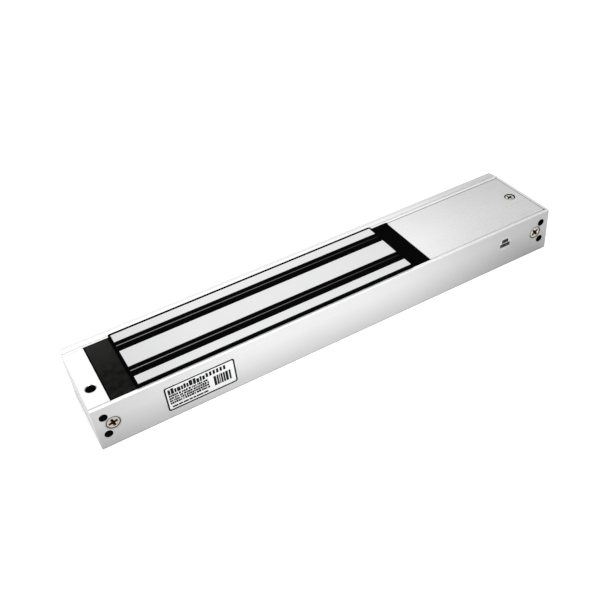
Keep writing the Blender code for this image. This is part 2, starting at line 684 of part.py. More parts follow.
def selector():
    """The 12 V or 24 V selector: header, pins and two pull-off caps."""
    low = BOARD_TOP + GAP
    bm = bmesh.new()
    box(bm, (SELECTOR_X - PIN_PITCH, SELECTOR_Y - PIN_PITCH * 1.5, low),
        (SELECTOR_X + PIN_PITCH, SELECTOR_Y + PIN_PITCH * 1.5, low + 2.4))
    make("selector_header", bm, "header plastic")
    for number, (x, y) in enumerate(selector_pin_places(), start=1):
        pin = bmesh.new()
        box(pin, (x - 0.32, y - 0.32, low + 2.7), (x + 0.32, y + 0.32, low + 6.9))
        make(f"selector_pin_{number}", pin, "brass")
    for side, row in (("near", -1), ("far", 1)):
        y, bottom = SELECTOR_Y + row * PIN_PITCH, low + 3.0
        origin = (SELECTOR_X, y, bottom)
        body = bmesh.new()
        box(body, (SELECTOR_X - 2.4, y - 1.1, bottom), (SELECTOR_X + 2.4, y + 1.1, bottom + 5.0))
        cap = make(f"selector_cap_{side}", body, "cap blue", origin)
        sockets = bmesh.new()
        for offset in (-PIN_PITCH / 2, PIN_PITCH / 2):
            x = SELECTOR_X + offset
            box(sockets, (x - 0.62, y - 0.62, bottom - 1.0), (x + 0.62, y + 0.62, bottom + 4.2))
        cut(cap, sockets)


def coil_leads():
    """Four leads from the potted end through the tray's notch down to the board."""
    start_x = COVER_LEFT - GAP / 2 + 0.2
    high, low = 16.5, BOARD_TOP + GAP
    for i, colour in enumerate(("red", "black", "yellow", "white")):
        y_start, y_end = MID_Y - 4.5 + 3.0 * i, 12.5 + 3.4 * i
        x_end = 186.5
        controls = [(start_x, y_start, high), (start_x + 3.5, y_start, high + 0.8),
                    (x_end - 1.0, y_end, high + 1.0), (x_end, y_end, low)]
        curve = bpy.data.curves.new(f"coil_lead_{colour}", "CURVE")
        curve.dimensions = "3D"
        curve.bevel_depth = 0.6 * MM
        curve.bevel_resolution = 2
        curve.use_fill_caps = True
        steps = 18
        spline = curve.splines.new("POLY")
        spline.points.add(steps)
        for step in range(steps + 1):
            t = step / steps
            weights = ((1 - t) ** 3, 3 * t * (1 - t) ** 2, 3 * t * t * (1 - t), t ** 3)
            point = sum((Vector(c) * w for c, w in zip(controls, weights)), Vector())
            spline.points[step].co = (*((point + TO_WORLD) * MM), 1.0)
        curve.materials.append(finish(f"lead {colour}"))
        lead = bpy.data.objects.new(f"coil_lead_{colour}", curve)
        bpy.context.scene.collection.objects.link(lead)


def cable_grommet():
    """The rubber bush in the back wall, with a flange on each side of it."""
    inside, outside = BODY_DEPTH - WALL - GAP, BODY_DEPTH + GAP
    bush = WALL_HOLE_RADIUS - GAP
    flange = WALL_HOLE_RADIUS + 1.2
    profile = [(CABLE_BORE, inside - 1.2), (flange, inside - 1.2), (flange, inside), (bush, inside),
               (bush, outside), (flange, outside), (flange - 0.4, outside + 1.6), (CABLE_BORE, outside + 1.6)]
    bm = bmesh.new()
    turned(bm, profile, "Y", (CABLE_X, CABLE_Z), 28, ring=True)
    make("cable_grommet", bm, "rubber")


# ---------------------------------------------------------------- outside

def labels():
    """The rating label and the small round sticker on the front face."""
    low, high = -LABEL_STAND, -LABEL_GAP
    bm = bmesh.new()
    prism(bm, rounded_outline((LABEL_X[0], LABEL_Z[0]), (LABEL_X[1], LABEL_Z[1]), 1.2, 5), "Y", low, high)
    make("rating_label", bm, "label film")
    bm = bmesh.new()
    rod(bm, STICKER_RADIUS, "Y", (STICKER_X, STICKER_Z), low, high, 40)
    make("inspection_sticker", bm, "sticker paper")


def mounting_plate():
    """The plate that stays on the door frame: slots, sunk holes, tapped holes and the cable hole."""
    chamfer, drop = PLATE_CHAMFER
    outline = [(PLATE_FRONT, 0.0), (PLATE_BACK, 0.0), (PLATE_BACK, HEIGHT - drop),
               (PLATE_BACK - chamfer, HEIGHT), (PLATE_FRONT, HEIGHT)]
    middle = HEIGHT / 2
    bm = bmesh.new()
    prism(bm, outline, "X", PLATE_SHORT, LENGTH - PLATE_SHORT)
    plate = make("mounting_plate", bm, "plate aluminium", (LENGTH / 2, PLATE_FRONT, middle))
    for _, end, inward in ends():
        drill(plate, BODY_SCREW_RADIUS + GAP, "Y", (end + inward * BODY_SCREW_IN, BODY_SCREW_HEIGHT),
              BODY_DEPTH - 1.0, PLATE_BACK + 1.0)
    drill(plate, PLATE_CABLE_RADIUS, "Y", (CABLE_X, CABLE_Z), BODY_DEPTH - 1.0, PLATE_BACK + 1.0, 40)
    for side in (-1, 1):
        x = LENGTH / 2 + side * PLATE_SLOT_X
        reach = PLATE_SLOT_LENGTH / 2
        slot = bmesh.new()
        prism(slot, rounded_outline((x - reach, middle - PLATE_SLOT_RADIUS),
                                    (x + reach, middle + PLATE_SLOT_RADIUS), PLATE_SLOT_RADIUS - 0.01, 8),
              "Y", BODY_DEPTH - 1.0, PLATE_BACK + 1.0)
        cut(plate, slot)
        x = LENGTH / 2 + side * PLATE_HOLE_X
        depth = PLATE_SINK_RADIUS - PLATE_HOLE_RADIUS
        sink(plate, [(0.0, PLATE_FRONT - 1.0), (PLATE_SINK_RADIUS + 1.0, PLATE_FRONT - 1.0),
                     (PLATE_HOLE_RADIUS, PLATE_FRONT + depth), (PLATE_HOLE_RADIUS, PLATE_BACK + 1.0),
                     (0.0, PLATE_BACK + 1.0)], "Y", (x, middle))


def main():
    for old in list(bpy.data.objects):
        bpy.data.objects.remove(old, do_unlink=True)
    housing_channel()
    left_end_block()
    right_end_block()
    body_screws()
    e_core()
    coil_bobbin()
    coil_winding()
    core_bed()
    core_surround()
    slot_resin()
    resin_blocks()
    cover_plate()
    wiring_tray()
    circuit_board()
    board_screws()
    terminal_block()
    terminal_clamps()
    surge_varistor()
    flyback_diode()
    selector()
    coil_leads()
    cable_grommet()
    labels()
    mounting_plate()


main()
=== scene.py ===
"""Looks of an electromagnetic door lock: camera, light, materials and fine pieces on the CAD frame.

Shapes are worked out in millimetres in the lock's own frame: X along the lock, Y towards the mounting
plate, Z out of the magnetic face, origin in the middle of the underside. They are written out in metres.
"""

import math
import random

import bmesh
import bpy
from mathutils import Matrix, Vector, noise


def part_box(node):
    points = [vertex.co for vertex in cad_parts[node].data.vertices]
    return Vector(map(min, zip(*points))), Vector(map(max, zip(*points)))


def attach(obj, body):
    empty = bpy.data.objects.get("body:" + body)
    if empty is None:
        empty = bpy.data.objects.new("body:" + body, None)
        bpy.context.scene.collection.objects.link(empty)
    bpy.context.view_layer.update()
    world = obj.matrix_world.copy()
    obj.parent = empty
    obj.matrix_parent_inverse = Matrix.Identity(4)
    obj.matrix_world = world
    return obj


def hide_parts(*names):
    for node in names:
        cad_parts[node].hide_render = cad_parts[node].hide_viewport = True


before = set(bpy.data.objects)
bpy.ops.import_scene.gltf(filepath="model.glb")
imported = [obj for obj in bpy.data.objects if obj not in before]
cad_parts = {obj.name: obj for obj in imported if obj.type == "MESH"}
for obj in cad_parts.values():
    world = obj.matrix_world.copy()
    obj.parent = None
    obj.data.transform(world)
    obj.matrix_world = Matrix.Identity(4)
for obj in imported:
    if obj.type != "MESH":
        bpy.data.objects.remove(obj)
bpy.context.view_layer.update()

MM = 0.001
HOUSING = "lock_body"
EVEN = (1.0, 1.0, 1.0)
MIX_FIRST, MIX_SECOND, MIX_RESULT = 6, 7, 2     # the colour sockets of a Mix node


def node_box(node):
    """The lowest and highest corner of a CAD node, in millimetres."""
    low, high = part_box(node)
    return low / MM, high / MM


def middle_of(node):
    """The middle of a CAD node's box, in millimetres."""
    low, high = node_box(node)
    return (low + high) / 2


CHANNEL_LOW, CHANNEL_HIGH = node_box("housing_channel")
CORE_LOW, CORE_HIGH = node_box("e_core")
LEFT_RESIN_LOW, LEFT_RESIN_HIGH = node_box("left_resin_block")
RIGHT_RESIN_LOW, RIGHT_RESIN_HIGH = node_box("right_resin_block")
BOARD_LOW, BOARD_HIGH = node_box("circuit_board")
GAP = 0.3                          # the CAD's clearance between pieces that touch
WALL_FRONT = LEFT_RESIN_LOW.y - GAP
WALL_BACK = LEFT_RESIN_HIGH.y + GAP
FACE = CHANNEL_HIGH.z
POLE_TOP = CORE_HIGH.z
MID_Y = (CORE_LOW.y + CORE_HIGH.y) / 2


# ---------------------------------------------------------------- materials

def grey(value):
    return (value, value, value)


def scaled(colour, share):
    return tuple(value * share for value in colour)


def look(name, colour, roughness, metallic=0.0, specular=0.5):
    """A new Principled material with its constant values set."""
    material = bpy.data.materials.new(name)
    material.use_nodes = True
    shader = material.node_tree.nodes["Principled BSDF"]
    shader.inputs["Base Color"].default_value = (*colour, 1.0)
    shader.inputs["Roughness"].default_value = roughness
    shader.inputs["Metallic"].default_value = metallic
    shader.inputs["Specular IOR Level"].default_value = specular
    material.diffuse_color = (*colour, 1.0)
    return material


def add(material, kind, inputs=None, **settings):
    """A new node in a material, with its input values and settings."""
    made = material.node_tree.nodes.new(kind)
    for name, value in settings.items():
        setattr(made, name, value)
    for name, value in (inputs or {}).items():
        made.inputs[name].default_value = value
    return made


def link(material, output, target):
    material.node_tree.links.new(output, target)


def socket(material, name):
    return material.node_tree.nodes["Principled BSDF"].inputs[name]


def place(material, stretch=EVEN, turn=(0.0, 0.0, 0.0)):
    """Object coordinates, stretched and turned."""
    where = add(material, "ShaderNodeTexCoord")
    mapping = add(material, "ShaderNodeMapping", {"Scale": stretch, "Rotation": turn})
    link(material, where.outputs["Object"], mapping.inputs["Vector"])
    return mapping.outputs["Vector"]


def axis_of(material, output, axis):
    """One axis of a texture coordinate."""
    where = add(material, "ShaderNodeTexCoord")
    split = add(material, "ShaderNodeSeparateXYZ")
    link(material, where.outputs[output], split.inputs["Vector"])
    return split.outputs[axis]


def facing_of(material, axis):
    """How far a surface faces along an axis, from -1 to 1."""
    return axis_of(material, "Normal", axis)


def place_on(material, axis):
    """The place along an axis, in metres."""
    return axis_of(material, "Object", axis)


def noise_of(material, size, stretch=EVEN, detail=3.0, turn=(0.0, 0.0, 0.0)):
    """Noise whose features are about size millimetres across."""
    texture = add(material, "ShaderNodeTexNoise", {"Scale": 1.0 / (size * MM), "Detail": detail})
    link(material, place(material, stretch, turn), texture.inputs["Vector"])
    return texture.outputs["Fac"]


def cells_of(material, size, stretch=EVEN, feature="F1"):
    """Distance to the nearest of scattered points about size millimetres apart."""
    texture = add(material, "ShaderNodeTexVoronoi", {"Scale": 1.0 / (size * MM)}, feature=feature)
    link(material, place(material, stretch), texture.inputs["Vector"])
    return texture.outputs["Distance"]


def ranged(material, source, start, end, low, high):
    """A texture's span from start to end, turned into low to high."""
    step = add(material, "ShaderNodeMapRange",
               {"From Min": start, "From Max": end, "To Min": low, "To Max": high})
    link(material, source, step.inputs["Value"])
    return step.outputs["Result"]


def vary(material, source, name, low, high, start=0.35, end=0.65):
    """A texture drives one of the shader's numbers."""
    link(material, ranged(material, source, start, end, low, high), socket(material, name))


def tint(material, source, second, start=0.35, end=0.65, mode="MIX"):
    """A texture's span from start to end lays a second colour over the shader's colour so far."""
    mix = add(material, "ShaderNodeMix", data_type="RGBA", blend_type=mode)
    base = socket(material, "Base Color")
    if base.links:
        link(material, base.links[0].from_socket, mix.inputs[MIX_FIRST])
    else:
        mix.inputs[MIX_FIRST].default_value = tuple(base.default_value)
    mix.inputs[MIX_SECOND].default_value = (*second, 1.0)
    link(material, ranged(material, source, start, end, 0.0, 1.0), mix.inputs["Factor"])
    link(material, mix.outputs[MIX_RESULT], base)


def shade(material, source, level, start, end):
    """A texture's span from start to end darkens the shader's colour so far, down to a level."""
    tint(material, source, grey(level), start, end, mode="MULTIPLY")


def distance_of(material, axis, middle):
    """How far a place lies from a middle along an axis, in metres."""
    offset = add(material, "ShaderNodeMath", {1: middle}, operation="SUBTRACT")
    link(material, place_on(material, axis), offset.inputs[0])
    size = add(material, "ShaderNodeMath", operation="ABSOLUTE")
    link(material, offset.outputs["Value"], size.inputs[0])
    return size.outputs["Value"]


def relief(material, source, height, strength=1.0):
    """A texture raises the surface by height millimetres, on top of earlier relief."""
    bump = add(material, "ShaderNodeBump", {"Strength": strength, "Distance": height * MM})
    normal = socket(material, "Normal")
    link(material, source, bump.inputs["Height"])
    if normal.links:
        link(material, normal.links[0].from_socket, bump.inputs["Normal"])
    link(material, bump.outputs["Normal"], normal)


def clouded(name, tone, second, roughness, size, span, rough_span=None, bump=None, fine=None,
            stretch=EVEN, detail=4.0, metallic=0.0, specular=0.5):
    """A material with clouds of a second tone, size millimetres across.

    The clouds' noise varies the roughness and raises the surface, unless fine gives another noise for
    that, as its size, stretch and detail. bump is the relief's height and strength.
    """
    material = look(name, tone, roughness, metallic, specular)
    cloud = noise_of(material, size, stretch, detail)
    grain = noise_of(material, *fine) if fine else cloud
    tint(material, cloud, second, *span)
    if rough_span:
        vary(material, grain, "Roughness", *rough_span)
    if bump:
        relief(material, grain, *bump)
    return material


def brushed(name, tone, roughness, grain=0.0016, along=(0.012, 1.0, 1.0), contrast=1.0):
    """Satin aluminium with a fine grain along one axis, faint scratches and slight cloudiness."""
    metal = look(name, scaled(tone, 1.0 - 0.07 * contrast), roughness, metallic=1.0)
    lines = noise_of(metal, 0.16, along, detail=4.0)
    cloud = noise_of(metal, 14.0, detail=2.0)
    scratches = noise_of(metal, 0.5, (0.02, 0.8, 0.8), detail=1.0, turn=(0.0, 0.35, 0.3))
    tint(metal, lines, scaled(tone, 1.0 + 0.04 * contrast), 0.3, 0.7)
    tint(metal, cloud, scaled(tone, 0.97), 0.55, 0.8)
    tint(metal, scratches, scaled(tone, 1.0 - 0.14 * contrast), 0.74, 0.80)
    vary(metal, lines, "Roughness", roughness - 0.05, roughness + 0.06)
    relief(metal, lines, grain)
    relief(metal, scratches, 0.0008, 0.5)
    return metal


def anodised_aluminium():
    """The housing. Painted shade makes it darker near its foot, along its bottom edge and towards both ends;
    a painted highlight makes it paler where it faces up.
    """
    metal = brushed("anodised_aluminium", grey(0.445), 0.38)
    # painted shade: darker towards the floor, standing in for the shaded floor that the front reflects
    tint(metal, place_on(metal, "Z"), grey(0.31), 0.017, -0.002)
    # painted shade towards both ends, which leaves a painted broad highlight in the middle
    shade(metal, distance_of(metal, "X", -0.010), 0.84, 0.045, 0.125)
    # painted shade along the bottom edge
    shade(metal, place_on(metal, "Z"), 0.75, 0.0011, 0.0002)
    # painted highlight on the faces that look up
    tint(metal, facing_of(metal, "Z"), grey(0.60), 0.4, 0.8)
    return metal


def cover_aluminium():
    """The cover: a fainter grain than the housing's, and painted shade that makes it a little darker towards
    the mounting plate.
    """
    metal = brushed("cover_aluminium", (0.555, 0.555, 0.557), 0.30, grain=0.0006, contrast=0.35)
    # painted shade towards the mounting plate
    shade(metal, place_on(metal, "Y"), 0.90, -0.006, 0.015)
    return metal


def milled_aluminium():
    """Milled faces: cutter marks across the block, and painted shade that makes a face darker where it looks
    along the lock.
    """
    metal = brushed("milled_aluminium", grey(0.59), 0.36, along=(1.0, 0.02, 1.0))
    # painted shade on the faces that look along the lock
    square = add(metal, "ShaderNodeMath", operation="ABSOLUTE")
    link(metal, facing_of(metal, "X"), square.inputs[0])
    tint(metal, square.outputs["Value"], (0.36, 0.36, 0.35), 0.7, 0.95)
    arcs = add(metal, "ShaderNodeTexWave", {"Scale": 900.0, "Distortion": 1.2, "Detail": 1.0},
               wave_type="RINGS", rings_direction="Z")
    link(metal, place(metal), arcs.inputs["Vector"])
    relief(metal, arcs.outputs["Fac"], 0.0012, 0.5)
    return metal


def plate_aluminium():
    """The mounting plate, with painted shade that makes it a little darker towards its right end."""
    metal = brushed("plate_aluminium", (0.63, 0.63, 0.635), 0.28, grain=0.0018)
    # painted shade towards the right end
    shade(metal, place_on(metal, "X"), 0.80, -0.12, 0.12)
    return metal


def ground_steel():
    """The pole faces: ground across the stacked sheets, which show as faint cross lines. Painted shade makes
    their sides and edge bevels near black and their left end darker.
    """
    metal = look("ground_steel", (0.455, 0.455, 0.46), 0.36, metallic=1.0)
    lines = noise_of(metal, 0.22, (0.015, 1.0, 1.0), detail=4.0)
    sheets = add(metal, "ShaderNodeTexWave", {"Scale": 630.0, "Distortion": 0.4, "Detail": 1.0},
                 wave_type="BANDS", bands_direction="X")
    link(metal, place(metal), sheets.inputs["Vector"])
    tint(metal, lines, (0.50, 0.50, 0.505), 0.3, 0.7)
    tint(metal, sheets.outputs["Fac"], (0.44, 0.44, 0.445), 0.90, 1.0)
    # painted shade: faces that do not look up go near black, in place of their highlights
    tint(metal, facing_of(metal, "Z"), grey(0.03), 0.95, 0.85)
    # painted shade towards the left end
    shade(metal, place_on(metal, "X"), 0.90, -0.065, -0.10)
    vary(metal, lines, "Roughness", 0.31, 0.42)
    relief(metal, lines, 0.0015)
    relief(metal, sheets.outputs["Fac"], 0.0012, 0.4)
    return metal


def bright_nickel():
    """Screws: warm nickel with a fine grain and a little tarnish, and painted shade that makes them darker
    towards the left end.
    """
    metal = clouded("bright_nickel", (0.46, 0.41, 0.35), (0.32, 0.27, 0.21), 0.34, 0.9, (0.45, 0.75),
                    (0.28, 0.42), (0.004, 0.6), (0.12, EVEN, 2.0), metallic=1.0)
    # painted shade towards the left end
    shade(metal, place_on(metal, "X"), 0.76, 0.0, -0.1)
    return metal


def black_resin():
    """Black potting resin: smooth, with specks, small pits and a slow swell."""
    resin = look("black_resin", grey(0.0006), 0.62, specular=0.004)
    pits = cells_of(resin, 2.6)
    specks = noise_of(resin, 0.30, detail=5.0)
    tint(resin, specks, (0.0020, 0.0020, 0.0021), 0.50, 0.80)
    vary(resin, specks, "Roughness", 0.50, 0.74)
    relief(resin, ranged(resin, pits, 0.0, 0.10, 0.0, 1.0), 0.05, 0.7)
    relief(resin, specks, 0.03, 0.6)
    return resin


def grey_resin():
    """The left end's filling: dark grey and finely mottled, with a painted sheen that makes it paler towards
    the back.
    """
    resin = look("grey_resin", (0.0024, 0.0024, 0.0023), 0.72, specular=0.02)
    mottle = noise_of(resin, 3.4, detail=6.0)
    grain = noise_of(resin, 0.35, detail=5.0)
    pits = cells_of(resin, 1.7)
    tint(resin, mottle, (0.0065, 0.0065, 0.0062), 0.38, 0.62)
    # painted sheen: paler towards the back
    tint(resin, place_on(resin, "Y"), (0.0130, 0.0130, 0.0125), -0.006, 0.016)
    tint(resin, grain, (0.013, 0.013, 0.0126), 0.58, 0.80)
    vary(resin, grain, "Roughness", 0.58, 0.86)
    relief(resin, ranged(resin, pits, 0.0, 0.14, 0.0, 1.0), 0.05, 0.8)
    relief(resin, grain, 0.05, 0.8)
    return resin


def ridge_painted_highlight():
    """The fine bead along a slot: its grey is a painted highlight, which pales towards the left end and
    fades to near black at the right.
    """
    resin = look("ridge_painted_highlight", (0.12, 0.12, 0.115), 0.42, specular=0.06)
    # painted highlight, fading from the left end to near black at the right
    tint(resin, place_on(resin, "X"), grey(0.004), CORE_LOW.x * MM, CORE_HIGH.x * MM)
    specks = noise_of(resin, 0.5, (0.2, 1.0, 1.0), detail=4.0)
    vary(resin, specks, "Roughness", 0.34, 0.55)
    relief(resin, specks, 0.02, 0.5)
    return resin


def moulded(name, colour, roughness=0.45, grain=0.02, specular=0.4):
    """Moulded plastic with a fine spark-eroded skin and slight colour drift."""
    return clouded(name, colour, scaled(colour, 0.86), roughness, 6.0, (0.4, 0.7),
                   (roughness - 0.06, roughness + 0.10), (grain, 0.5), (0.22, EVEN, 3.0),
                   detail=2.0, specular=specular)


def board_green():
    """Solder mask over glass cloth, whose weave shows faintly."""
    mask = look("board_green", (0.010, 0.10, 0.045), 0.32, specular=0.45)
    weave = add(mask, "ShaderNodeTexWave", {"Scale": 900.0, "Distortion": 0.6, "Detail": 1.0},
                wave_type="BANDS", bands_direction="DIAGONAL")
    link(mask, place(mask), weave.inputs["Vector"])
    cloud = noise_of(mask, 5.0, detail=3.0)
    tint(mask, cloud, (0.008, 0.075, 0.034), 0.4, 0.7)
    vary(mask, cloud, "Roughness", 0.26, 0.40)
    relief(mask, weave.outputs["Fac"], 0.006, 0.5)
    return mask


def enamelled_copper():
    """Lacquered winding wire."""
    wire = clouded("enamelled_copper", (0.50, 0.16, 0.06), (0.36, 0.10, 0.035), 0.30, 3.0, (0.4, 0.7),
                   (0.24, 0.40), detail=3.0, metallic=0.85)
    socket(wire, "Coat Weight").default_value = 0.6
    socket(wire, "Coat Roughness").default_value = 0.12
    return wire


def lead_skin(name, colour):
    """The insulation of a lead, with the faint twist of the strands under it."""
    return clouded(name, colour, scaled(colour, 0.82), 0.42, 0.5, (0.4, 0.75), (0.36, 0.50), (0.02, 0.4),
                   stretch=(0.4, 1.0, 1.0), detail=2.0, specular=0.4)


def rubber():
    """The bush: black rubber with a pale bloom and a rough skin."""
    bush = clouded("rubber", grey(0.010), grey(0.030), 0.75, 1.8, (0.5, 0.8), (0.62, 0.85),
                   detail=5.0, specular=0.25)
    relief(bush, noise_of(bush, 0.25, detail=3.0), 0.03, 0.6)
    return bush


LOOKS = {
    "anodised": anodised_aluminium(),
    "cover": cover_aluminium(),
    "milled": milled_aluminium(),
    "plate": plate_aluminium(),
    "steel": ground_steel(),
    "nickel": bright_nickel(),
    # pale zinc plate with a faint yellow bloom
    "zinc": clouded("bright_zinc", (0.58, 0.57, 0.50), (0.50, 0.46, 0.34), 0.30, 1.2, (0.42, 0.70),
                    (0.24, 0.38), (0.004, 0.6), (0.12, EVEN, 2.0), metallic=1.0),
    # painted shade in driver recesses, in the groove round a countersunk head and in the cover's
    # countersink, brown in places
    "recess": clouded("recess_painted_shade", (0.005, 0.003, 0.002), (0.035, 0.022, 0.013), 0.62, 0.35, (0.5, 0.8),
                      bump=(0.02, 0.6), specular=0.03),
    # painted shade on the thread in the deep holes and in the corner reliefs
    "hole": clouded("hole_painted_shade", (0.0012, 0.0012, 0.0014), grey(0.007), 0.6, 0.4, (0.45, 0.8),
                    (0.45, 0.75), (0.02, 0.6), specular=0.02),
    "black_resin": black_resin(),
    "grey_resin": grey_resin(),
    "ridge": ridge_painted_highlight(),
    "nylon": moulded("nylon", (0.62, 0.60, 0.53), 0.5),
    "tray": moulded("tray_plastic", (0.035, 0.035, 0.038), 0.55, 0.03, 0.3),
    "board": board_green(),
    # copper tracks under the solder mask
    "trace": clouded("trace_green", (0.02, 0.17, 0.07), (0.028, 0.21, 0.085), 0.30, 2.0, (0.4, 0.7),
                     (0.24, 0.38), detail=3.0),
    "tin": clouded("solder_tin", (0.62, 0.62, 0.60), (0.46, 0.46, 0.44), 0.30, 0.4, (0.45, 0.75),
                   (0.22, 0.42), (0.03, 0.5), metallic=1.0),
    "terminal": moulded("terminal_plastic", (0.02, 0.20, 0.08), 0.42, 0.015),
    "brass": clouded("brass", (0.66, 0.48, 0.20), (0.50, 0.34, 0.13), 0.32, 1.1, (0.45, 0.75),
                     (0.26, 0.42), (0.004, 0.5), (0.10, (0.2, 1.0, 1.0), 2.0), metallic=1.0),
    "varistor": moulded("varistor_coat", (0.02, 0.08, 0.32), 0.34, 0.03, 0.5),
    "diode": moulded("diode_body", (0.014, 0.014, 0.015), 0.34, 0.01, 0.5),
    "band": moulded("diode_band", (0.55, 0.55, 0.55), 0.4, 0.01),
    "header": moulded("header_plastic", (0.013, 0.013, 0.014), 0.5, 0.01),
    "cap": moulded("cap_plastic", (0.02, 0.07, 0.30), 0.38, 0.01, 0.5),
    "copper": enamelled_copper(),
    # pressed fibre board under the core
    "press_board": clouded("press_board", (0.44, 0.32, 0.18), (0.30, 0.20, 0.11), 0.85, 0.5, (0.4, 0.7),
                           bump=(0.05, 0.6), stretch=(0.3, 1.0, 1.0), detail=6.0, specular=0.2),
    "rubber": rubber(),
    # clear matt film, through which the metal's grey comes
    "film": clouded("label_film", grey(0.50), grey(0.47), 0.36, 4.0, (0.4, 0.7), (0.34, 0.46),
                    (0.002, 0.6), (0.2, (0.05, 1.0, 1.0), 3.0), detail=3.0, metallic=0.98),
    "paper": clouded("sticker_paper", grey(0.44), grey(0.41), 0.38, 0.3, (0.4, 0.7), (0.40, 0.55),
                     (0.004, 0.6), detail=5.0, metallic=0.98),
    # black label ink, thinner in places
    "ink": clouded("print_ink", (0.004, 0.004, 0.0045), (0.030, 0.030, 0.032), 0.55, 0.5, (0.60, 0.82),
                   (0.48, 0.66), detail=5.0, specular=0.05),
    "legend": moulded("board_legend", (0.62, 0.62, 0.58), 0.6, 0.005),
    "lead_red": lead_skin("lead_red", (0.42, 0.016, 0.014)),
    "lead_black": lead_skin("lead_black", (0.012, 0.012, 0.012)),
    "lead_yellow": lead_skin("lead_yellow", (0.62, 0.42, 0.02)),
    "lead_white": lead_skin("lead_white", (0.62, 0.62, 0.59)),
}

CAD_LOOKS = {
    "housing_channel": "anodised", "left_end_block": "milled", "right_end_block": "milled",
    "mounting_plate": "plate", "e_core": "steel", "coil_bobbin": "nylon",
    "core_bed": "press_board", "wiring_tray": "tray", "circuit_board": "board",
    "terminal_block": "terminal", "terminal_clamp_left": "brass", "terminal_clamp_right": "brass",
    "terminal_screw_left": "nickel", "terminal_screw_right": "nickel", "selector_header": "header",
    "selector_cap_near": "cap", "selector_cap_far": "cap",
}
BEVELS = {"terminal_block": 0.25, "selector_header": 0.2, "selector_cap_near": 0.3,
          "selector_cap_far": 0.3, "terminal_clamp_left": 0.12, "terminal_clamp_right": 0.12}


def finish_nodes():
    """Materials and smooth shading on the CAD nodes that stay."""
    for number in range(1, 7):
        CAD_LOOKS[f"selector_pin_{number}"] = "brass"
        BEVELS[f"selector_pin_{number}"] = 0.14
    for node, name in CAD_LOOKS.items():
        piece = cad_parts[node]
        piece.data.materials.clear()
        piece.data.materials.append(LOOKS[name])
        smooth(piece.data, 32.0)
        if node in BEVELS:
            bevel = piece.modifiers.new("Edges", "BEVEL")
            bevel.width = BEVELS[node] * MM
            bevel.segments = 2
            bevel.limit_method = "ANGLE"
            bevel.angle_limit = math.radians(50)


# ---------------------------------------------------------------- shapes

def smooth(mesh, angle):
    """Smooth shading, with sharp edges where faces meet at more than an angle."""
    mesh.shade_smooth()
    mesh.set_sharp_from_angle(angle=math.radians(angle))


def make(name, bm, looks, replaces=(), body=HOUSING, sharp=35.0, at=None):
    """A piece from a mesh in millimetres, riding on a body; faces pick from looks by their index."""
    bmesh.ops.recalc_face_normals(bm, faces=bm.faces[:])
    bm.transform(Matrix.Scale(MM, 4) @ (at or Matrix.Identity(4)))
    mesh = bpy.data.meshes.new(name)
    bm.to_mesh(mesh)
    bm.free()
    smooth(mesh, sharp)
    for one in ([looks] if isinstance(looks, str) else looks):
        mesh.materials.append(LOOKS[one])
    piece = bpy.data.objects.new(name, mesh)
    bpy.context.scene.collection.objects.link(piece)
    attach(piece, body)
    if replaces:
        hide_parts(*replaces)
    return piece


def put_axes(axis, along, u, v):
    """A point with one coordinate along the axis and the other two in X, Y, Z order."""
    point = [u, v]
    point.insert("XYZ".index(axis), along)
    return Vector(point)


def loop_at(bm, outline, axis, along):
    """Vertices on an outline, at a place along the axis that the outline is square to."""
    return [bm.verts.new(put_axes(axis, along, u, v)) for u, v in outline]


def ring_at(bm, radius, height, segments):
    """A level ring of vertices round the Z axis; radius is a number or a function of the angle."""
    ring = []
    for i in range(segments):
        angle = 2 * math.pi * i / segments
        reach = radius(angle) if callable(radius) else radius
        ring.append(bm.verts.new((reach * math.cos(angle), reach * math.sin(angle), height)))
    return ring


def skin_loops(bm, loops, closed=False, capped=True, index=0):
    """Faces between successive loops of vertices of one count."""
    pairs = list(zip(loops, loops[1:]))
    if closed:
        pairs.append((loops[-1], loops[0]))
    count = len(loops[0])
    faces = []
    for lower, upper in pairs:
        for i in range(count):
            j = (i + 1) % count
            faces.append(bm.faces.new((lower[i], lower[j], upper[j], upper[i])))
    if capped and not closed:
        faces.append(bm.faces.new(loops[0][::-1]))
        faces.append(bm.faces.new(loops[-1]))
    for face in faces:
        face.material_index = index
    return faces


def box(bm, low, high, index=0):
    """A rectangular block between two corners."""
    loops = []
    for z in (low[2], high[2]):
        corners = ((low[0], low[1]), (high[0], low[1]), (high[0], high[1]), (low[0], high[1]))
        loops.append([bm.verts.new((x, y, z)) for x, y in corners])
    return skin_loops(bm, loops, index=index)


def turned(bm, profile, axis="Z", centre=(0.0, 0.0), segments=48, ring=False, index=0):
    """A profile of (radius, place along the axis) turned about an axis; a ring's profile closes."""
    loops = []
    for radius, along in profile:
        loop = []
        for i in range(segments):
            angle = 2 * math.pi * i / segments
            u = centre[0] + radius * math.cos(angle)
            v = centre[1] + radius * math.sin(angle)
            loop.append(bm.verts.new(put_axes(axis, along, u, v)))
        loops.append(loop)
    return skin_loops(bm, loops, closed=ring, index=index)


def rounded_outline(low, high, radius, steps=6):
    """A rectangle with round corners, anticlockwise."""
    corners = [((high[0] - radius, high[1] - radius), 0), ((low[0] + radius, high[1] - radius), 90),
               ((low[0] + radius, low[1] + radius), 180), ((high[0] - radius, low[1] + radius), 270)]
    outline = []
    for (u, v), start in corners:
        for i in range(steps + 1):
            angle = math.radians(start + 90 * i / steps)
            outline.append((u + radius * math.cos(angle), v + radius * math.sin(angle)))
    return outline


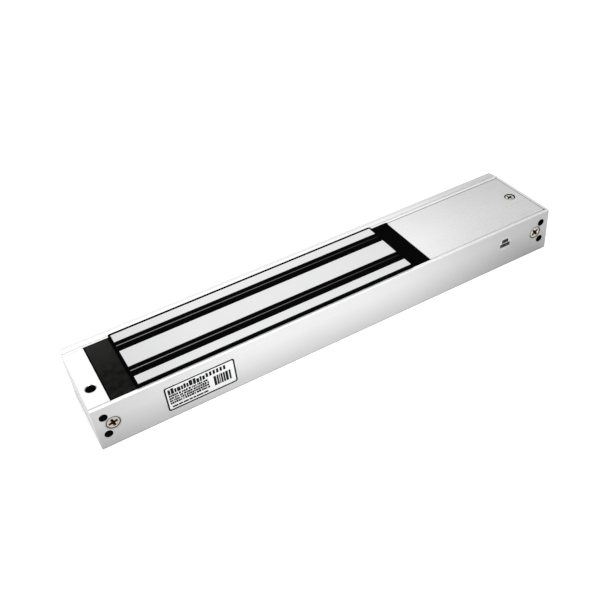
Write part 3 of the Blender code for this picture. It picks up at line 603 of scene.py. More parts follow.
def swept_rim(bm, low, high, profile, corner, steps=6, index=0):
    """A closed profile of (outward offset, height) carried round a rectangle with round corners."""
    loops = []
    for offset, height in profile:
        outline = rounded_outline((low[0] - offset, low[1] - offset), (high[0] + offset, high[1] + offset),
                                  corner + offset, steps)
        loops.append(loop_at(bm, outline, "Z", height))
    return skin_loops(bm, loops, closed=True, index=index)


def tube(bm, path, radius, segments=12, index=0):
    """A round bar along a path; radius is a number or a function of the way along, 0 to 1."""
    points = [Vector(point) for point in path]
    side = None
    loops = []
    for i, point in enumerate(points):
        ahead = (points[min(i + 1, len(points) - 1)] - points[max(i - 1, 0)]).normalized()
        if side is None:
            side = ahead.orthogonal().normalized()
        side = (side - ahead * side.dot(ahead)).normalized()
        other = ahead.cross(side)
        r = radius(i / (len(points) - 1)) if callable(radius) else radius
        loops.append([bm.verts.new(point + (side * math.cos(a) + other * math.sin(a)) * r)
                      for a in (2 * math.pi * k / segments for k in range(segments))])
    return skin_loops(bm, loops, index=index)


def bezier(controls, steps):
    """Points along a cubic with four control points."""
    a, b, c, d = (Vector(control) for control in controls)
    points = []
    for i in range(steps + 1):
        t = i / steps
        s = 1 - t
        points.append(a * s ** 3 + b * 3 * t * s * s + c * 3 * t * t * s + d * t ** 3)
    return points


def steps_between(low, high, pitch):
    """Evenly spaced values from low to high, about a pitch apart."""
    count = max(1, round((high - low) / pitch))
    return [low + (high - low) * i / count for i in range(count + 1)]


def steps_down(start, end, pitch):
    """Evenly spaced values from start down to end."""
    return [-value for value in steps_between(-start, -end, pitch)]


def slab(bm, xs, ys, top, bottom, index_of=None):
    """A closed slab whose upper side follows a height function."""
    grid = [[bm.verts.new((x, y, top(x, y))) for y in ys] for x in xs]
    for i in range(len(xs) - 1):
        for j in range(len(ys) - 1):
            face = bm.faces.new((grid[i][j], grid[i + 1][j], grid[i + 1][j + 1], grid[i][j + 1]))
            if index_of:
                face.material_index = index_of((xs[i] + xs[i + 1]) / 2, (ys[j] + ys[j + 1]) / 2)
    edge = ([row[0] for row in grid] + grid[-1][1:] + [row[-1] for row in grid[-2::-1]]
            + grid[0][-2:0:-1])
    under = [bm.verts.new((vert.co.x, vert.co.y, bottom)) for vert in edge]
    skin_loops(bm, [under, edge], capped=False)
    bm.faces.new(under[::-1])


def rough(x, y, size, seed):
    """Smooth noise from -1 to 1 with features about size millimetres across."""
    return noise.noise(Vector((x / size, y / size, seed)))


def subtract(piece, cutter_meshes):
    """Cuts meshes in millimetres out of a piece and keeps the result as its mesh."""
    tools = []
    for number, bm in enumerate(cutter_meshes):
        bmesh.ops.recalc_face_normals(bm, faces=bm.faces[:])
        bm.transform(Matrix.Scale(MM, 4))
        mesh = bpy.data.meshes.new(f"cutter_{number}")
        bm.to_mesh(mesh)
        bm.free()
        tool = bpy.data.objects.new(mesh.name, mesh)
        bpy.context.scene.collection.objects.link(tool)
        modifier = piece.modifiers.new(mesh.name, "BOOLEAN")
        modifier.operation = "DIFFERENCE"
        modifier.solver = "EXACT"
        modifier.object = tool
        tools.append(tool)
    graph = bpy.context.evaluated_depsgraph_get()
    shaped = bpy.data.meshes.new_from_object(piece.evaluated_get(graph))
    piece.modifiers.clear()
    piece.data = shaped
    for tool in tools:
        bpy.data.objects.remove(tool, do_unlink=True)


# ---------------------------------------------------------------- screws and holes

RING = 0.42                         # the groove between a head's flat and its countersink, dark with painted shade


def cross_cutter(reach, arm, depth, turned_by=0.0):
    """A tapering cross, from just above the head's flat down into it, in the screw's own frame."""
    bm = bmesh.new()
    loops = []
    for height, share in ((0.3, 1.0), (0.0, 1.0), (-depth * 0.55, 0.72), (-depth, 0.30)):
        loop = []
        for quarter in range(4):
            turn = Matrix.Rotation(math.pi / 2 * quarter + math.radians(turned_by), 2)
            inner = arm * 1.35
            for u, v in ((reach * share, -arm), (reach * share, arm), (inner, inner)):
                point = turn @ Vector((u, v * (0.45 + 0.55 * share) if u > inner else v * 0.9))
                loop.append(bm.verts.new((point.x, point.y, height)))
        loops.append(loop)
    skin_loops(bm, loops)
    return bm


def countersink_lip(name, axis, centre, face, inward, low, high, metal, body):
    """The sharp mouth of a countersink, which stands close round its screw's head."""
    profile = [(low, face), (high, face), (low, face + inward * (high - low))]
    bm = bmesh.new()
    turned(bm, profile, axis, centre, 56, ring=True)
    make(name, bm, metal, body=body)


def pointing(facing):
    """The turn that takes +Z to a direction."""
    return Vector((0.0, 0.0, 1.0)).rotation_difference(Vector(facing)).to_matrix().to_4x4()


def mark_cut(piece, takes_painted_shade):
    """Gives a cut piece's faces in painted shade its second look and smooths it again."""
    for face in piece.data.polygons:
        face.material_index = 1 if takes_painted_shade(face) else 0
    smooth(piece.data, 30.0)


def thread_radius(core, outer, pitch, height, angle):
    """The radius of a vee thread at a height and angle."""
    phase = (height / pitch + angle / (2 * math.pi)) % 1.0
    return core + (outer - core) * (1.0 - abs(2.0 * phase - 1.0))


def screw_body(bm, head, shank, length, pitch, thread_from, segments=32):
    """A countersunk screw along -Z with its flat at zero, threaded from a depth to its tip."""
    cone_end = -(head - shank + 0.25)
    rings = [(0.0, head * 0.35), (0.0, head - RING), (-0.03, head - RING + 0.04),
             (-0.32, head - RING + 0.10), (-0.32, head - 0.05), (-0.02, head + 0.06),
             (-0.40, head), (cone_end, shank),
             (cone_end - 0.3, shank)]
    loops = [ring_at(bm, radius, height, segments) for height, radius in rings]
    core = shank - pitch * 0.45
    for height in steps_down(-thread_from, -length + shank * 0.5, pitch / 8):
        run_in = min(1.0, (-thread_from - height) / pitch + 0.15)

        def radius_at(angle):
            return shank + (thread_radius(core, shank, pitch, height, angle) - shank) * run_in

        loops.append(ring_at(bm, radius_at, height, segments))
    loops.append(ring_at(bm, core * 0.6, -length, segments))
    skin_loops(bm, loops)


def countersunk_screw(name, node, body, head, shank, pitch, thread_from, facing, metal, turned_by):
    """A cross-head screw in the place of a CAD one; facing is the direction its head looks."""
    low, high = node_box(node)
    length = max(high - low)
    middle = (low + high) / 2
    flat = Vector([high[i] if facing[i] > 0 else low[i] if facing[i] < 0 else middle[i] for i in range(3)])
    bm = bmesh.new()
    screw_body(bm, head, shank, length, pitch, thread_from)
    piece = make(name, bm, (metal, "recess"), (node,), body, sharp=40.0)
    subtract(piece, [cross_cutter(head * 0.66, head * 0.16, head * 0.60, turned_by)])

    # the driver recess and the groove round the head take painted shade
    def takes_painted_shade(face):
        depth = -face.center.z / MM
        reach = math.hypot(face.center.x, face.center.y) / MM
        recess = 0.02 < depth < head * 0.63 and reach < min(head * 0.68, head - depth - 0.12)
        groove = 0.1 < depth < 0.5 and head - RING < reach
        return recess or groove

    mark_cut(piece, takes_painted_shade)
    piece.data.transform(Matrix.Translation(flat * MM) @ pointing(facing))


def screws():
    """The two long fixing screws and the cover's short one."""
    for side, turned_by in (("left", 13.0), ("right", 38.0)):
        countersunk_screw(f"{side}_fixing_screw", f"body_screw_{side}", f"{side}_fixing",
                          3.3, 2.0, 0.7, 20.0, (0.0, -1.0, 0.0), "nickel", turned_by)
        middle = middle_of(f"body_screw_{side}")
        countersink_lip(f"{side}_countersink_lip", "Y", (middle.x, middle.z), CHANNEL_LOW.y,
                        1.0, 3.40, 3.76, "anodised", HOUSING)
    countersunk_screw("cover_fixing_screw", "cover_screw", "cover_fastener",
                      2.6, 1.5, 0.5, 2.6, (0.0, 0.0, 1.0), "zinc", 20.0)


def tapped_hole(name, centre, facing, radius, depth, sunk, pitch=0.8, segments=40):
    """The threaded wall and floor of a blind hole, dark with painted shade, as a thin cup just inside the
    bore.
    """
    bm = bmesh.new()
    outer, crest, root = radius - 0.02, radius - 0.38, radius - 0.10
    loops = [ring_at(bm, outer, height, segments) for height in (-depth + 0.05, -sunk)]
    for height in steps_down(-sunk, -depth + 0.9, pitch / 6):
        run_in = min(1.0, (-sunk - height) / (1.5 * pitch))

        def radius_at(angle):
            return root + (thread_radius(crest, root, pitch, height, angle) - root) * run_in

        loops.append(ring_at(bm, radius_at, height, segments))
    loops.append(ring_at(bm, crest * 0.9, -depth + 0.6, segments))
    skin_loops(bm, loops)
    make(name, bm, "hole", at=Matrix.Translation(Vector(centre)) @ pointing(facing))


SIDE_HOLE_IN, SIDE_HOLE_RADIUS, SIDE_HOLE_DEPTH = 4.75, 2.0, 8.0
SIDE_HOLE_HEIGHTS = (7.8, 17.9)
FACE_HOLE_IN, FACE_HOLE_Y = 5.1, 13.6
FACE_HOLE_RADIUS, FACE_HOLE_DEPTH = 2.45, 7.8


def tapped_holes():
    """Two blind holes beside each fixing screw and one in the left block's face."""
    for side, end, inward in (("left", CHANNEL_LOW.x, 1.0), ("right", CHANNEL_HIGH.x, -1.0)):
        for level, height in zip(("lower", "upper"), SIDE_HOLE_HEIGHTS):
            centre = (end + inward * SIDE_HOLE_IN, CHANNEL_LOW.y, height)
            tapped_hole(f"{side}_{level}_hole_thread", centre, (0.0, -1.0, 0.0),
                        SIDE_HOLE_RADIUS, SIDE_HOLE_DEPTH, 0.12)
    centre = (CHANNEL_LOW.x + FACE_HOLE_IN, CHANNEL_LOW.y + FACE_HOLE_Y, FACE)
    tapped_hole("face_hole_thread", centre, (0.0, 0.0, 1.0), FACE_HOLE_RADIUS, FACE_HOLE_DEPTH, 0.60, 1.0)


# ---------------------------------------------------------------- magnet

RIM_WIDTH = CORE_LOW.y - WALL_FRONT        # from a pole's side to the housing wall
SLOT_DIP = 0.28
RIDGE_SHIFT, RIDGE_HALF, RIDGE_RISE = 0.90, 0.25, 0.20


def potting_rim():
    """The resin rim round the core: flush with the poles, sloping in front, lapping the wall behind."""
    foot = RIGHT_RESIN_HIGH.z - 6.0
    profile = [(0.0, foot), (0.0, POLE_TOP - 0.06), (0.10, POLE_TOP - 0.02), (0.80, POLE_TOP - 0.02),
               (0.98, POLE_TOP - 0.08), (RIM_WIDTH - 0.02, POLE_TOP - 0.30), (RIM_WIDTH, FACE),
               (RIM_WIDTH, foot)]
    bm = bmesh.new()
    swept_rim(bm, (CORE_LOW.x, CORE_LOW.y), (CORE_HIGH.x, CORE_HIGH.y), profile, 0.05, steps=3)
    for vert in bm.verts:
        out = CORE_LOW.y - vert.co.y
        if out > 0.2 and vert.co.z > FACE + 0.1:
            vert.co.z = max(FACE - 0.05, POLE_TOP - 1.75 * (out - 0.1))
        elif vert.co.y > CORE_HIGH.y + 0.5 and vert.co.z > FACE + 0.1:
            vert.co.y += 0.35
    make("potting_rim", bm, "black_resin", ("core_surround",))


def slot_potting():
    """The resin in each slot: a shallow trough between the poles with one fine bead along it."""
    for side in ("near", "far"):
        node = f"slot_resin_{side}"
        low, high = node_box(node)
        near, far = low.y - GAP, high.y + GAP
        middle, half = (near + far) / 2, (far - near) / 2
        ridge = middle + RIDGE_SHIFT
        seed = middle

        def top(x, y):
            across = abs(y - middle) / half
            trough = POLE_TOP - 0.05 - SLOT_DIP * (1.0 - across ** 6)
            bead = RIDGE_RISE * math.exp(-((y - ridge) / (RIDGE_HALF * 0.62)) ** 2)
            return trough + bead + 0.025 * rough(x, y, 6.0, seed) + 0.008 * rough(x, y, 1.1, seed)

        # the bead's faces take the ridge look, a painted highlight
        def index_of(x, y):
            return 1 if abs(y - ridge) < RIDGE_HALF else 0

        ys = steps_between(near, ridge - RIDGE_HALF, 0.35)
        ys += steps_between(ridge - RIDGE_HALF, ridge + RIDGE_HALF, 0.1)[1:]
        ys += steps_between(ridge + RIDGE_HALF, far, 0.35)[1:]
        bm = bmesh.new()
        slab(bm, steps_between(low.x, high.x, 0.9), ys, top, low.z, index_of)
        make(f"{side}_slot_potting", bm, ("black_resin", "ridge"), (node,))


def potted_end(name, node, looks, left, right, base_left, base_right, swell, grain):
    """One potted end: an uneven top that rounds down into the gap at the wall, over a plain block.

    The second look is painted shade along its left and back sides.
    """
    low, high = node_box(node)

    def top(x, y):
        to_edge = min(x - left, right - x, y - WALL_FRONT, WALL_BACK - y)
        round_over = 0.35 * (1.0 - min(to_edge / 0.45, 1.0)) ** 2
        waves = swell * rough(x, y, 7.0, 3.0) + grain * rough(x, y, 0.9, 5.0)
        return FACE - 0.03 + waves * min(to_edge / 1.2, 1.0) - round_over

    # painted shade along the left and back edges
    def index_of(x, y):
        return 1 if min(x - left, WALL_BACK - y) < 0.5 else 0

    step = FACE - 2.8
    edges = 0.15
    xs = [left, left + edges, left + 2 * edges] + steps_between(left + 0.5, right - 0.5, 0.35)
    xs += [right - 2 * edges, right - edges, right]
    ys = [WALL_FRONT, WALL_FRONT + edges, WALL_FRONT + 2 * edges]
    ys += steps_between(WALL_FRONT + 0.5, WALL_BACK - 0.5, 0.45)
    ys += [WALL_BACK - 2 * edges, WALL_BACK - edges, WALL_BACK]
    bm = bmesh.new()
    slab(bm, xs, ys, top, step, index_of)
    box(bm, (base_left, low.y, low.z), (base_right, high.y, step - 0.05))
    make(name, bm, looks, (node,))


def potted_ends():
    rim_left, rim_right = CORE_LOW.x - RIM_WIDTH, CORE_HIGH.x + RIM_WIDTH
    potted_end("left_potting", "left_resin_block", ("grey_resin", "black_resin"),
               LEFT_RESIN_LOW.x - 0.15, rim_left, LEFT_RESIN_LOW.x + 3.4, rim_left, 0.045, 0.012)
    potted_end("right_potting", "right_resin_block", ("black_resin", "black_resin"),
               rim_right, RIGHT_RESIN_HIGH.x + 0.1, rim_right, RIGHT_RESIN_HIGH.x, 0.02, 0.006)


def plate_seat():
    """Thin strips that close the gaps behind the body and behind the left block."""
    low, high = node_box("mounting_plate")
    bm = bmesh.new()
    box(bm, (low.x + 0.4, CHANNEL_HIGH.y - 0.03, 0.5),
        (high.x - 0.4, CHANNEL_HIGH.y + GAP - 0.02, FACE - 0.08))
    box(bm, (CHANNEL_LOW.x + 0.2, WALL_BACK - GAP - 0.02, 2.5),
        (LEFT_RESIN_LOW.x - GAP - 0.1, WALL_BACK + 0.02, FACE - 0.015))
    make("plate_seat", bm, "milled")


def winding():
    """The coil as layers of round wire: every turn shows as a rib."""
    low, high = node_box("coil_winding")
    wire = 0.9
    turns = int((high.z - low.z) / wire)
    pitch = (high.z - low.z) / turns
    inner_low = (CORE_LOW.x - 1.2, MID_Y - 7.2)
    inner_high = (CORE_HIGH.x + 1.2, MID_Y + 7.2)
    width = inner_low[0] - low.x
    profile = [(0.0, low.z), (0.0, high.z)]
    for i in range(turns):
        for share, bulge in ((0.05, 0.35), (0.25, 0.85), (0.5, 1.0), (0.75, 0.85), (0.95, 0.35)):
            profile.append((width - 0.18 * (1 - bulge), high.z - pitch * (i + share)))
    profile[2] = (width - 0.2, high.z)
    profile.append((width - 0.2, low.z))
    bm = bmesh.new()
    swept_rim(bm, inner_low, inner_high, profile, 1.0, steps=6)
    make("winding_turns", bm, "copper", ("coil_winding",))


# ---------------------------------------------------------------- wiring compartment

def pad(bm, x, y, outer, inner, z, index=0, segments=24):
    """A tinned ring on the board."""
    turned(bm, [(inner, z), (outer, z), (outer, z + 0.05), (inner, z + 0.05)], "Z", (x, y), segments,
           ring=True, index=index)


def solder_cone(bm, x, y, z, radius=1.0, index=0):
    """A fillet of solder where a wire meets its pad."""
    profile = [(radius, z), (radius * 0.75, z + 0.15), (radius * 0.5, z + 0.4), (radius * 0.42, z + 0.75),
               (radius * 0.15, z + 0.95)]
    turned(bm, profile, "Z", (x, y), 20, index=index)


def track(bm, points, width, z):
    """A flat track through points on the board, with mitred bends."""
    path = [Vector(point) for point in points]
    lefts, rights = [], []
    for i, point in enumerate(path):
        before = (point - path[i - 1]).normalized() if i else (path[1] - point).normalized()
        after = (path[i + 1] - point).normalized() if i < len(path) - 1 else before
        normal = Vector((-(before + after).y, (before + after).x)).normalized()
        reach = width / 2 / max(normal.dot(Vector((-before.y, before.x))), 0.4)
        lefts.append(point + normal * reach)
        rights.append(point - normal * reach)
    loops = []
    for left, right in zip(lefts, rights):
        loops.append([bm.verts.new((p.x, p.y, h)) for p, h in ((left, z), (right, z), (right, z + 0.04),
                                                               (left, z + 0.04))])
    skin_loops(bm, loops)


COVER_LEDGE = 0.75                 # how far the back wall's ledge reaches over the opening
LEAD_COLOURS = ("red", "black", "yellow", "white")
BOARD_TOP = BOARD_HIGH.z
LEAD_PAD_X = BOARD_LOW.x + 5.5
LEAD_PITCH, LEAD_START_PITCH = 3.4, 3.0


def lead_pad_y(number):
    """The board end of a coil lead."""
    return CHANNEL_LOW.y + 12.5 + LEAD_PITCH * number


def coil_leads():
    """Four insulated leads that come out of the potting and are soldered to the board."""
    start_x = RIGHT_RESIN_HIGH.x + 0.35
    for number, colour in enumerate(LEAD_COLOURS):
        node = f"coil_lead_{colour}"
        low, high = node_box(node)
        start_y = MID_Y + LEAD_START_PITCH * (number - 1.5)
        end_y = lead_pad_y(number)
        top = high.z - 0.6
        controls = [(start_x - 1.0, start_y, top - 0.9), (start_x + 3.5, start_y, top - 0.1),
                    (LEAD_PAD_X - 1.0, end_y, top + 0.2), (LEAD_PAD_X, end_y, BOARD_TOP + 1.1)]
        skin_path = bezier(controls, 40)
        bm = bmesh.new()
        tube(bm, skin_path, 0.6, 16)
        strands = [skin_path[-1] + Vector((0.0, 0.0, 0.3)), (LEAD_PAD_X, end_y, BOARD_TOP + 0.6),
                   (LEAD_PAD_X, end_y, BOARD_TOP + 0.05)]
        tube(bm, strands, 0.36, 10, index=1)
        make(f"{colour}_coil_lead", bm, (f"lead_{colour}", "tin"), (node,))


def cover():
    """The cover of the wiring space, a little narrower than its opening, with rounded corners."""
    low, high = node_box("cover_plate")
    back = high.y - COVER_LEDGE
    hole = middle_of("cover_screw")
    bm = bmesh.new()
    loops = []
    for inset, z in ((0.08, low.z), (0.0, low.z + 0.08), (0.0, high.z - 0.08), (0.08, high.z)):
        outline = rounded_outline((low.x + inset, low.y + inset), (high.x - inset, back - inset), 0.8, 5)
        loops.append(loop_at(bm, outline, "Z", z))
    skin_loops(bm, loops)
    piece = make("cover_sheet", bm, ("cover", "recess"), ("cover_plate",), "cover")
    profile = [(1.7, low.z - 1.0), (1.7, high.z - 1.15), (2.90, high.z - 0.02), (2.90, high.z + 1.0)]
    bore = bmesh.new()
    turned(bore, profile, "Z", (hole.x, hole.y), 56)
    subtract(piece, [bore])
    # the countersink's wall takes painted shade
    mark_cut(piece, lambda face: math.hypot(face.center.x / MM - hole.x, face.center.y / MM - hole.y) < 2.95)


def cover_surround():
    """The back wall's ledge beside the cover, and the relief holes at two of its corners, dark with painted
    shade.
    """
    low, high = node_box("cover_plate")
    back = high.y - COVER_LEDGE
    bm = bmesh.new()
    box(bm, (low.x - 0.05, back + 0.32, FACE - 1.6), (high.x + 0.3, WALL_BACK + 0.05, FACE - 0.01))
    make("cover_ledge", bm, "anodised")
    # the relief holes are dark with painted shade
    foot, mouth = FACE - 0.9, FACE + 0.01
    bm = bmesh.new()
    for corner in ((high.x + 0.05, low.y - 0.05), (low.x - 0.05, back + 0.25)):
        turned(bm, [(0.1, foot), (0.5, foot), (0.5, mouth), (0.1, mouth)], "Z", corner, 24)
    make("corner_reliefs", bm, "hole")


BLOCK, DISC = middle_of("terminal_block"), middle_of("surge_varistor")
DIODE, HEADER = middle_of("flyback_diode"), middle_of("selector_header")
LEG_SPREAD = 2.5                   # from a part's middle to each of its legs
LEAD_PADS = [(LEAD_PAD_X, lead_pad_y(number)) for number in range(len(LEAD_COLOURS))]
DISC_PADS = [(DISC.x + side * LEG_SPREAD, DISC.y) for side in (-1.0, 1.0)]
DIODE_LOW, DIODE_HIGH = node_box("flyback_diode")
DIODE_PADS = [(DIODE_LOW.x + 0.6, DIODE.y), (DIODE_HIGH.x - 0.6, DIODE.y)]
BLOCK_PADS = [(BLOCK.x + side * LEG_SPREAD, BLOCK.y - 5.6) for side in (-1.0, 1.0)]


def board_pads():
    """Tinned pads for the leads, the legs and the board's own screws, with solder on the joints."""
    bm = bmesh.new()
    for x, y in LEAD_PADS + DISC_PADS + DIODE_PADS + BLOCK_PADS:
        pad(bm, x, y, 1.25, 0.3, BOARD_TOP)
    for x, y in LEAD_PADS + DISC_PADS + DIODE_PADS:
        solder_cone(bm, x, y, BOARD_TOP + 0.04, 0.85)
    for x in (BOARD_LOW.x + 3.0, BOARD_HIGH.x - 3.0):
        for y in (BOARD_LOW.y + 3.0, BOARD_HIGH.y - 3.0):
            pad(bm, x, y, 2.6, 1.45, BOARD_TOP)
    make("board_pads", bm, "tin")


def board_tracks():
    """Wide tracks for the coil's current and narrower ones to the selector."""
    supply, to_block, *to_header = LEAD_PADS
    wide = [[supply, (supply[0] + 3.0, supply[1] - 2.0), DIODE_PADS[0]],
            [DIODE_PADS[1], (DISC.x - 4.5, DIODE.y), DISC_PADS[0]],
            [DISC_PADS[1], (DISC.x + 4.5, DISC.y + 2.0), (BLOCK.x + 5.5, BLOCK.y - 6.5), BLOCK_PADS[1]]]
    narrow = [[to_block, (to_block[0] + 3.5, to_block[1]), (HEADER.x, HEADER.y - 5.5), BLOCK_PADS[0]],
              [to_header[0], (HEADER.x - 4.6, to_header[0][1]), (HEADER.x - 3.0, HEADER.y - 2.5)],
              [to_header[1], (HEADER.x - 5.2, to_header[1][1] + 1.2), (HEADER.x - 3.0, HEADER.y + 2.5)],
              [(HEADER.x + 3.0, HEADER.y + 2.5), (HEADER.x + 6.5, HEADER.y + 5.5),
               (BLOCK.x - 6.5, HEADER.y + 5.5)]]
    bm = bmesh.new()
    for paths, width in ((wide, 1.4), (narrow, 1.1)):
        for path in paths:
            track(bm, path, width, BOARD_TOP)
    make("board_tracks", bm, "trace")


def frame_line(bm, low, high, line=0.16):
    """A printed outline on the board."""
    outer = rounded_outline(low, high, 0.5, 3)
    inner = rounded_outline((low[0] + line, low[1] + line), (high[0] - line, high[1] - line), 0.35, 3)
    foot, top = BOARD_TOP + 0.045, BOARD_TOP + 0.075
    loops = [loop_at(bm, outline, "Z", height)
             for outline, height in ((inner, foot), (outer, foot), (outer, top), (inner, top))]
    skin_loops(bm, loops, closed=True)


def board_outlines():
    """Printed outlines round the board's parts."""
    bm = bmesh.new()
    gaps = (("terminal_block", 0.6, 0.6), ("selector_header", 0.7, 0.7), ("surge_varistor", 0.4, 0.5))
    for node, x, y in gaps:
        low, high = node_box(node)
        frame_line(bm, (low.x - x, low.y - y), (high.x + x, high.y + y))
    left, right = (place[0] for place in DIODE_PADS)
    frame_line(bm, (left + 1.4, DIODE.y - 2.9), (right - 1.4, DIODE.y + 2.9))
    make("board_outlines", bm, "legend")


def board_washer(number, x, y, seat):
    profile = [(1.2, seat), (2.45, seat), (2.5, seat + 0.1), (2.45, seat + 0.22), (1.2, seat + 0.22)]
    bm = bmesh.new()
    turned(bm, profile, "Z", (0.0, 0.0), 32, ring=True)
    make(f"board_washer_{number}", bm, "nickel", at=Matrix.Translation((x, y, 0.0)))


def board_screws():
    """Pan-head cross screws with washers, one in each corner of the board."""
    for number in range(1, 5):
        node = f"board_screw_{number}"
        low, _ = node_box(node)
        middle = middle_of(node)
        seat = BOARD_TOP + 0.05
        board_washer(number, middle.x, middle.y, seat)
        head = seat + 0.24
        dome = [(2.2 * math.cos(math.radians(a)) ** 0.7, head + 0.25 + 1.25 * math.sin(math.radians(a)))
                for a in (0, 15, 30, 45, 60, 75)]
        shank = [(0.3, low.z), (0.9, low.z + 1.0), (0.9, head), (2.05, head), (2.2, head + 0.1)]
        bm = bmesh.new()
        turned(bm, shank + dome + [(0.3, head + 1.5)], "Z", (0.0, 0.0), 32)
        piece = make(f"board_fixing_{number}", bm, ("nickel", "recess"), (node,))
        cutter = cross_cutter(1.45, 0.28, 1.2, 30.0 * number)
        cutter.transform(Matrix.Translation((0.0, 0.0, head + 1.5)))
        subtract(piece, [cutter])

        # the cross recess takes painted shade
        def takes_painted_shade(face):
            reach = math.hypot(face.center.x, face.center.y) / MM
            height = face.center.z / MM
            steep = abs(face.normal.z) < 0.8
            return reach < 1.35 and height > head and (steep or height < head + 0.9)

        mark_cut(piece, takes_painted_shade)
        piece.data.transform(Matrix.Translation((middle.x * MM, middle.y * MM, 0.0)))


def varistor():
    """The coated disc across the supply, with crimped legs."""
    low, high = node_box("surge_varistor")
    x, y = DISC.x, DISC.y
    radius, half = (high.x - low.x) / 2, (high.y - low.y) / 2
    z = high.z - radius
    bm = bmesh.new()
    profile = []
    for i in range(13):
        angle = math.radians(-90 + 15 * i)
        profile.append((radius - 1.5 + 1.5 * math.cos(angle), y + half * math.sin(angle)))
    profile = [(radius * 0.3, y - half)] + profile + [(radius * 0.3, y + half)]
    turned(bm, profile, "Y", (x, z), 56)
    for side in (-1.0, 1.0):
        leg = x + side * LEG_SPREAD
        run_down = bezier([(leg, y, z - 2.6), (leg, y, z - 3.6), (leg, y, z - 4.4), (leg, y, z - 5.0)], 8)
        tube(bm, run_down, lambda t: 0.95 - 0.55 * t, 14)
        legs = [(leg, y, z - 4.6), (leg, y, z - 5.1), (leg, y, BOARD_TOP + 0.05)]
        tube(bm, legs, 0.36, 12, index=1)
    make("varistor_disc", bm, ("varistor", "tin"), ("surge_varistor",))


def diode():
    """The diode across the coil: a barrel with a pale band and two bent leads."""
    low, high = node_box("flyback_diode")
    x, y = DIODE.x, DIODE.y
    radius = (high.y - low.y) / 2
    z = high.z - radius
    half = 4.6                     # half the barrel's length
    bm = bmesh.new()
    barrel = [(0.5, x - half), (radius - 0.4, x - half), (radius - 0.12, x - half + 0.12),
              (radius, x - half + 0.4), (radius, x + half - 2.4),
              (radius, x + half - 1.2), (radius, x + half - 0.4),
              (radius - 0.12, x + half - 0.12), (radius - 0.4, x + half), (0.5, x + half)]
    faces = turned(bm, barrel, "X", (y, z), 40)
    for face in faces:
        if x + half - 2.3 < face.calc_center_median().x < x + half - 1.3:
            face.material_index = 1
    for side in (-1.0, 1.0):
        tip = low.x + 0.42 if side < 0 else high.x - 0.42
        start = Vector((x + side * (half - 0.3), y, z))
        bend = bezier([(tip - side * 0.9, y, z), (tip - side * 0.2, y, z), (tip, y, z - 0.2),
                       (tip, y, z - 0.9)], 8)
        tube(bm, [start] + bend + [Vector((tip, y, BOARD_TOP + 0.05))], 0.4, 12, index=2)
    make("diode_barrel", bm, ("diode", "band", "tin"), ("flyback_diode",))


def grommet():
    """The rubber bush in the back wall, with rounded lips and a ribbed bore."""
    low, high = node_box("cable_grommet")
    x, z = (low.x + high.x) / 2, (low.z + high.z) / 2
    flange = (high.x - low.x) / 2
    wall_in, wall_out = CHANNEL_HIGH.y - 1.5 - GAP, CHANNEL_HIGH.y + GAP
    bore, bush = 3.5, 4.7
    profile = [(bore + 0.25, low.y), (flange - 0.4, low.y), (flange - 0.1, low.y + 0.15),
               (flange, low.y + 0.5), (flange - 0.1, wall_in), (bush, wall_in), (bush, wall_out),
               (flange - 0.1, wall_out),
               (flange, wall_out + 0.4), (flange - 0.25, wall_out + 1.0), (flange - 0.8, high.y - 0.05),
               (bore + 0.4, high.y)]
    for share, depth in ((0.9, 0.0), (0.75, 0.35), (0.6, 0.0), (0.45, 0.35), (0.3, 0.0), (0.15, 0.3)):
        profile.append((bore + depth, low.y + (high.y - low.y) * share))
    bm = bmesh.new()
    turned(bm, profile, "Y", (x, z), 56, ring=True)
    make("cable_bush", bm, "rubber", ("cable_grommet",))


# ---------------------------------------------------------------- labels

FILM, INK = 0.12, 0.02


def bar(bm, front, low, high, radius=0.06):
    """One printed mark on the front face, from (x, z) to (x, z)."""
    radius = min(radius, (high[0] - low[0]) / 2.1, (high[1] - low[1]) / 2.1)
    loops = []
    for y in (front, front - INK):
        loops.append(loop_at(bm, rounded_outline(low, high, radius, 2), "Y", y))
    skin_loops(bm, loops)


def frame_mark(bm, front, outer, inner):
    """A printed line between two outlines of one point count."""
    loops = []
    for outline, y in ((inner, front), (outer, front), (outer, front - INK), (inner, front - INK)):
        loops.append(loop_at(bm, outline, "Y", y))
    skin_loops(bm, loops, closed=True)


def label_bars(mark):
    """Rows of plain bars in shares of the label: a heading, a number, four lines, a footer and a mark."""
    chance = random.Random(7)
    u = 0.045
    while u < 0.54:
        step = chance.uniform(0.026, 0.048)
        mark(u, 0.665 + 0.006 * chance.randint(0, 2), u + step, chance.choice((0.84, 0.87, 0.90)))
        u += step + 0.009
    u = 0.58
    while u < 0.87:
        mark(u, 0.715, u + 0.032, 0.885)
        u += 0.050
    for row in range(4):
        u = 0.045
        level = 0.555 - 0.100 * row
        while u < 0.60:
            step = chance.uniform(0.014, 0.034)
            mark(u, level, u + step, level + chance.choice((0.074, 0.080, 0.086)))
            u += step + chance.choice((0.004, 0.004, 0.004, 0.012))
    u = 0.06
    while u < 0.55:
        step = chance.uniform(0.04, 0.10)
        mark(u, 0.110, min(u + step, 0.57), 0.175)
        u += step + 0.008
    u = 0.675
    while u < 0.925:
        step = chance.choice((0.016, 0.026, 0.036))
        mark(u, 0.22, u + step, 0.62)
        u += step + chance.choice((0.008, 0.014))


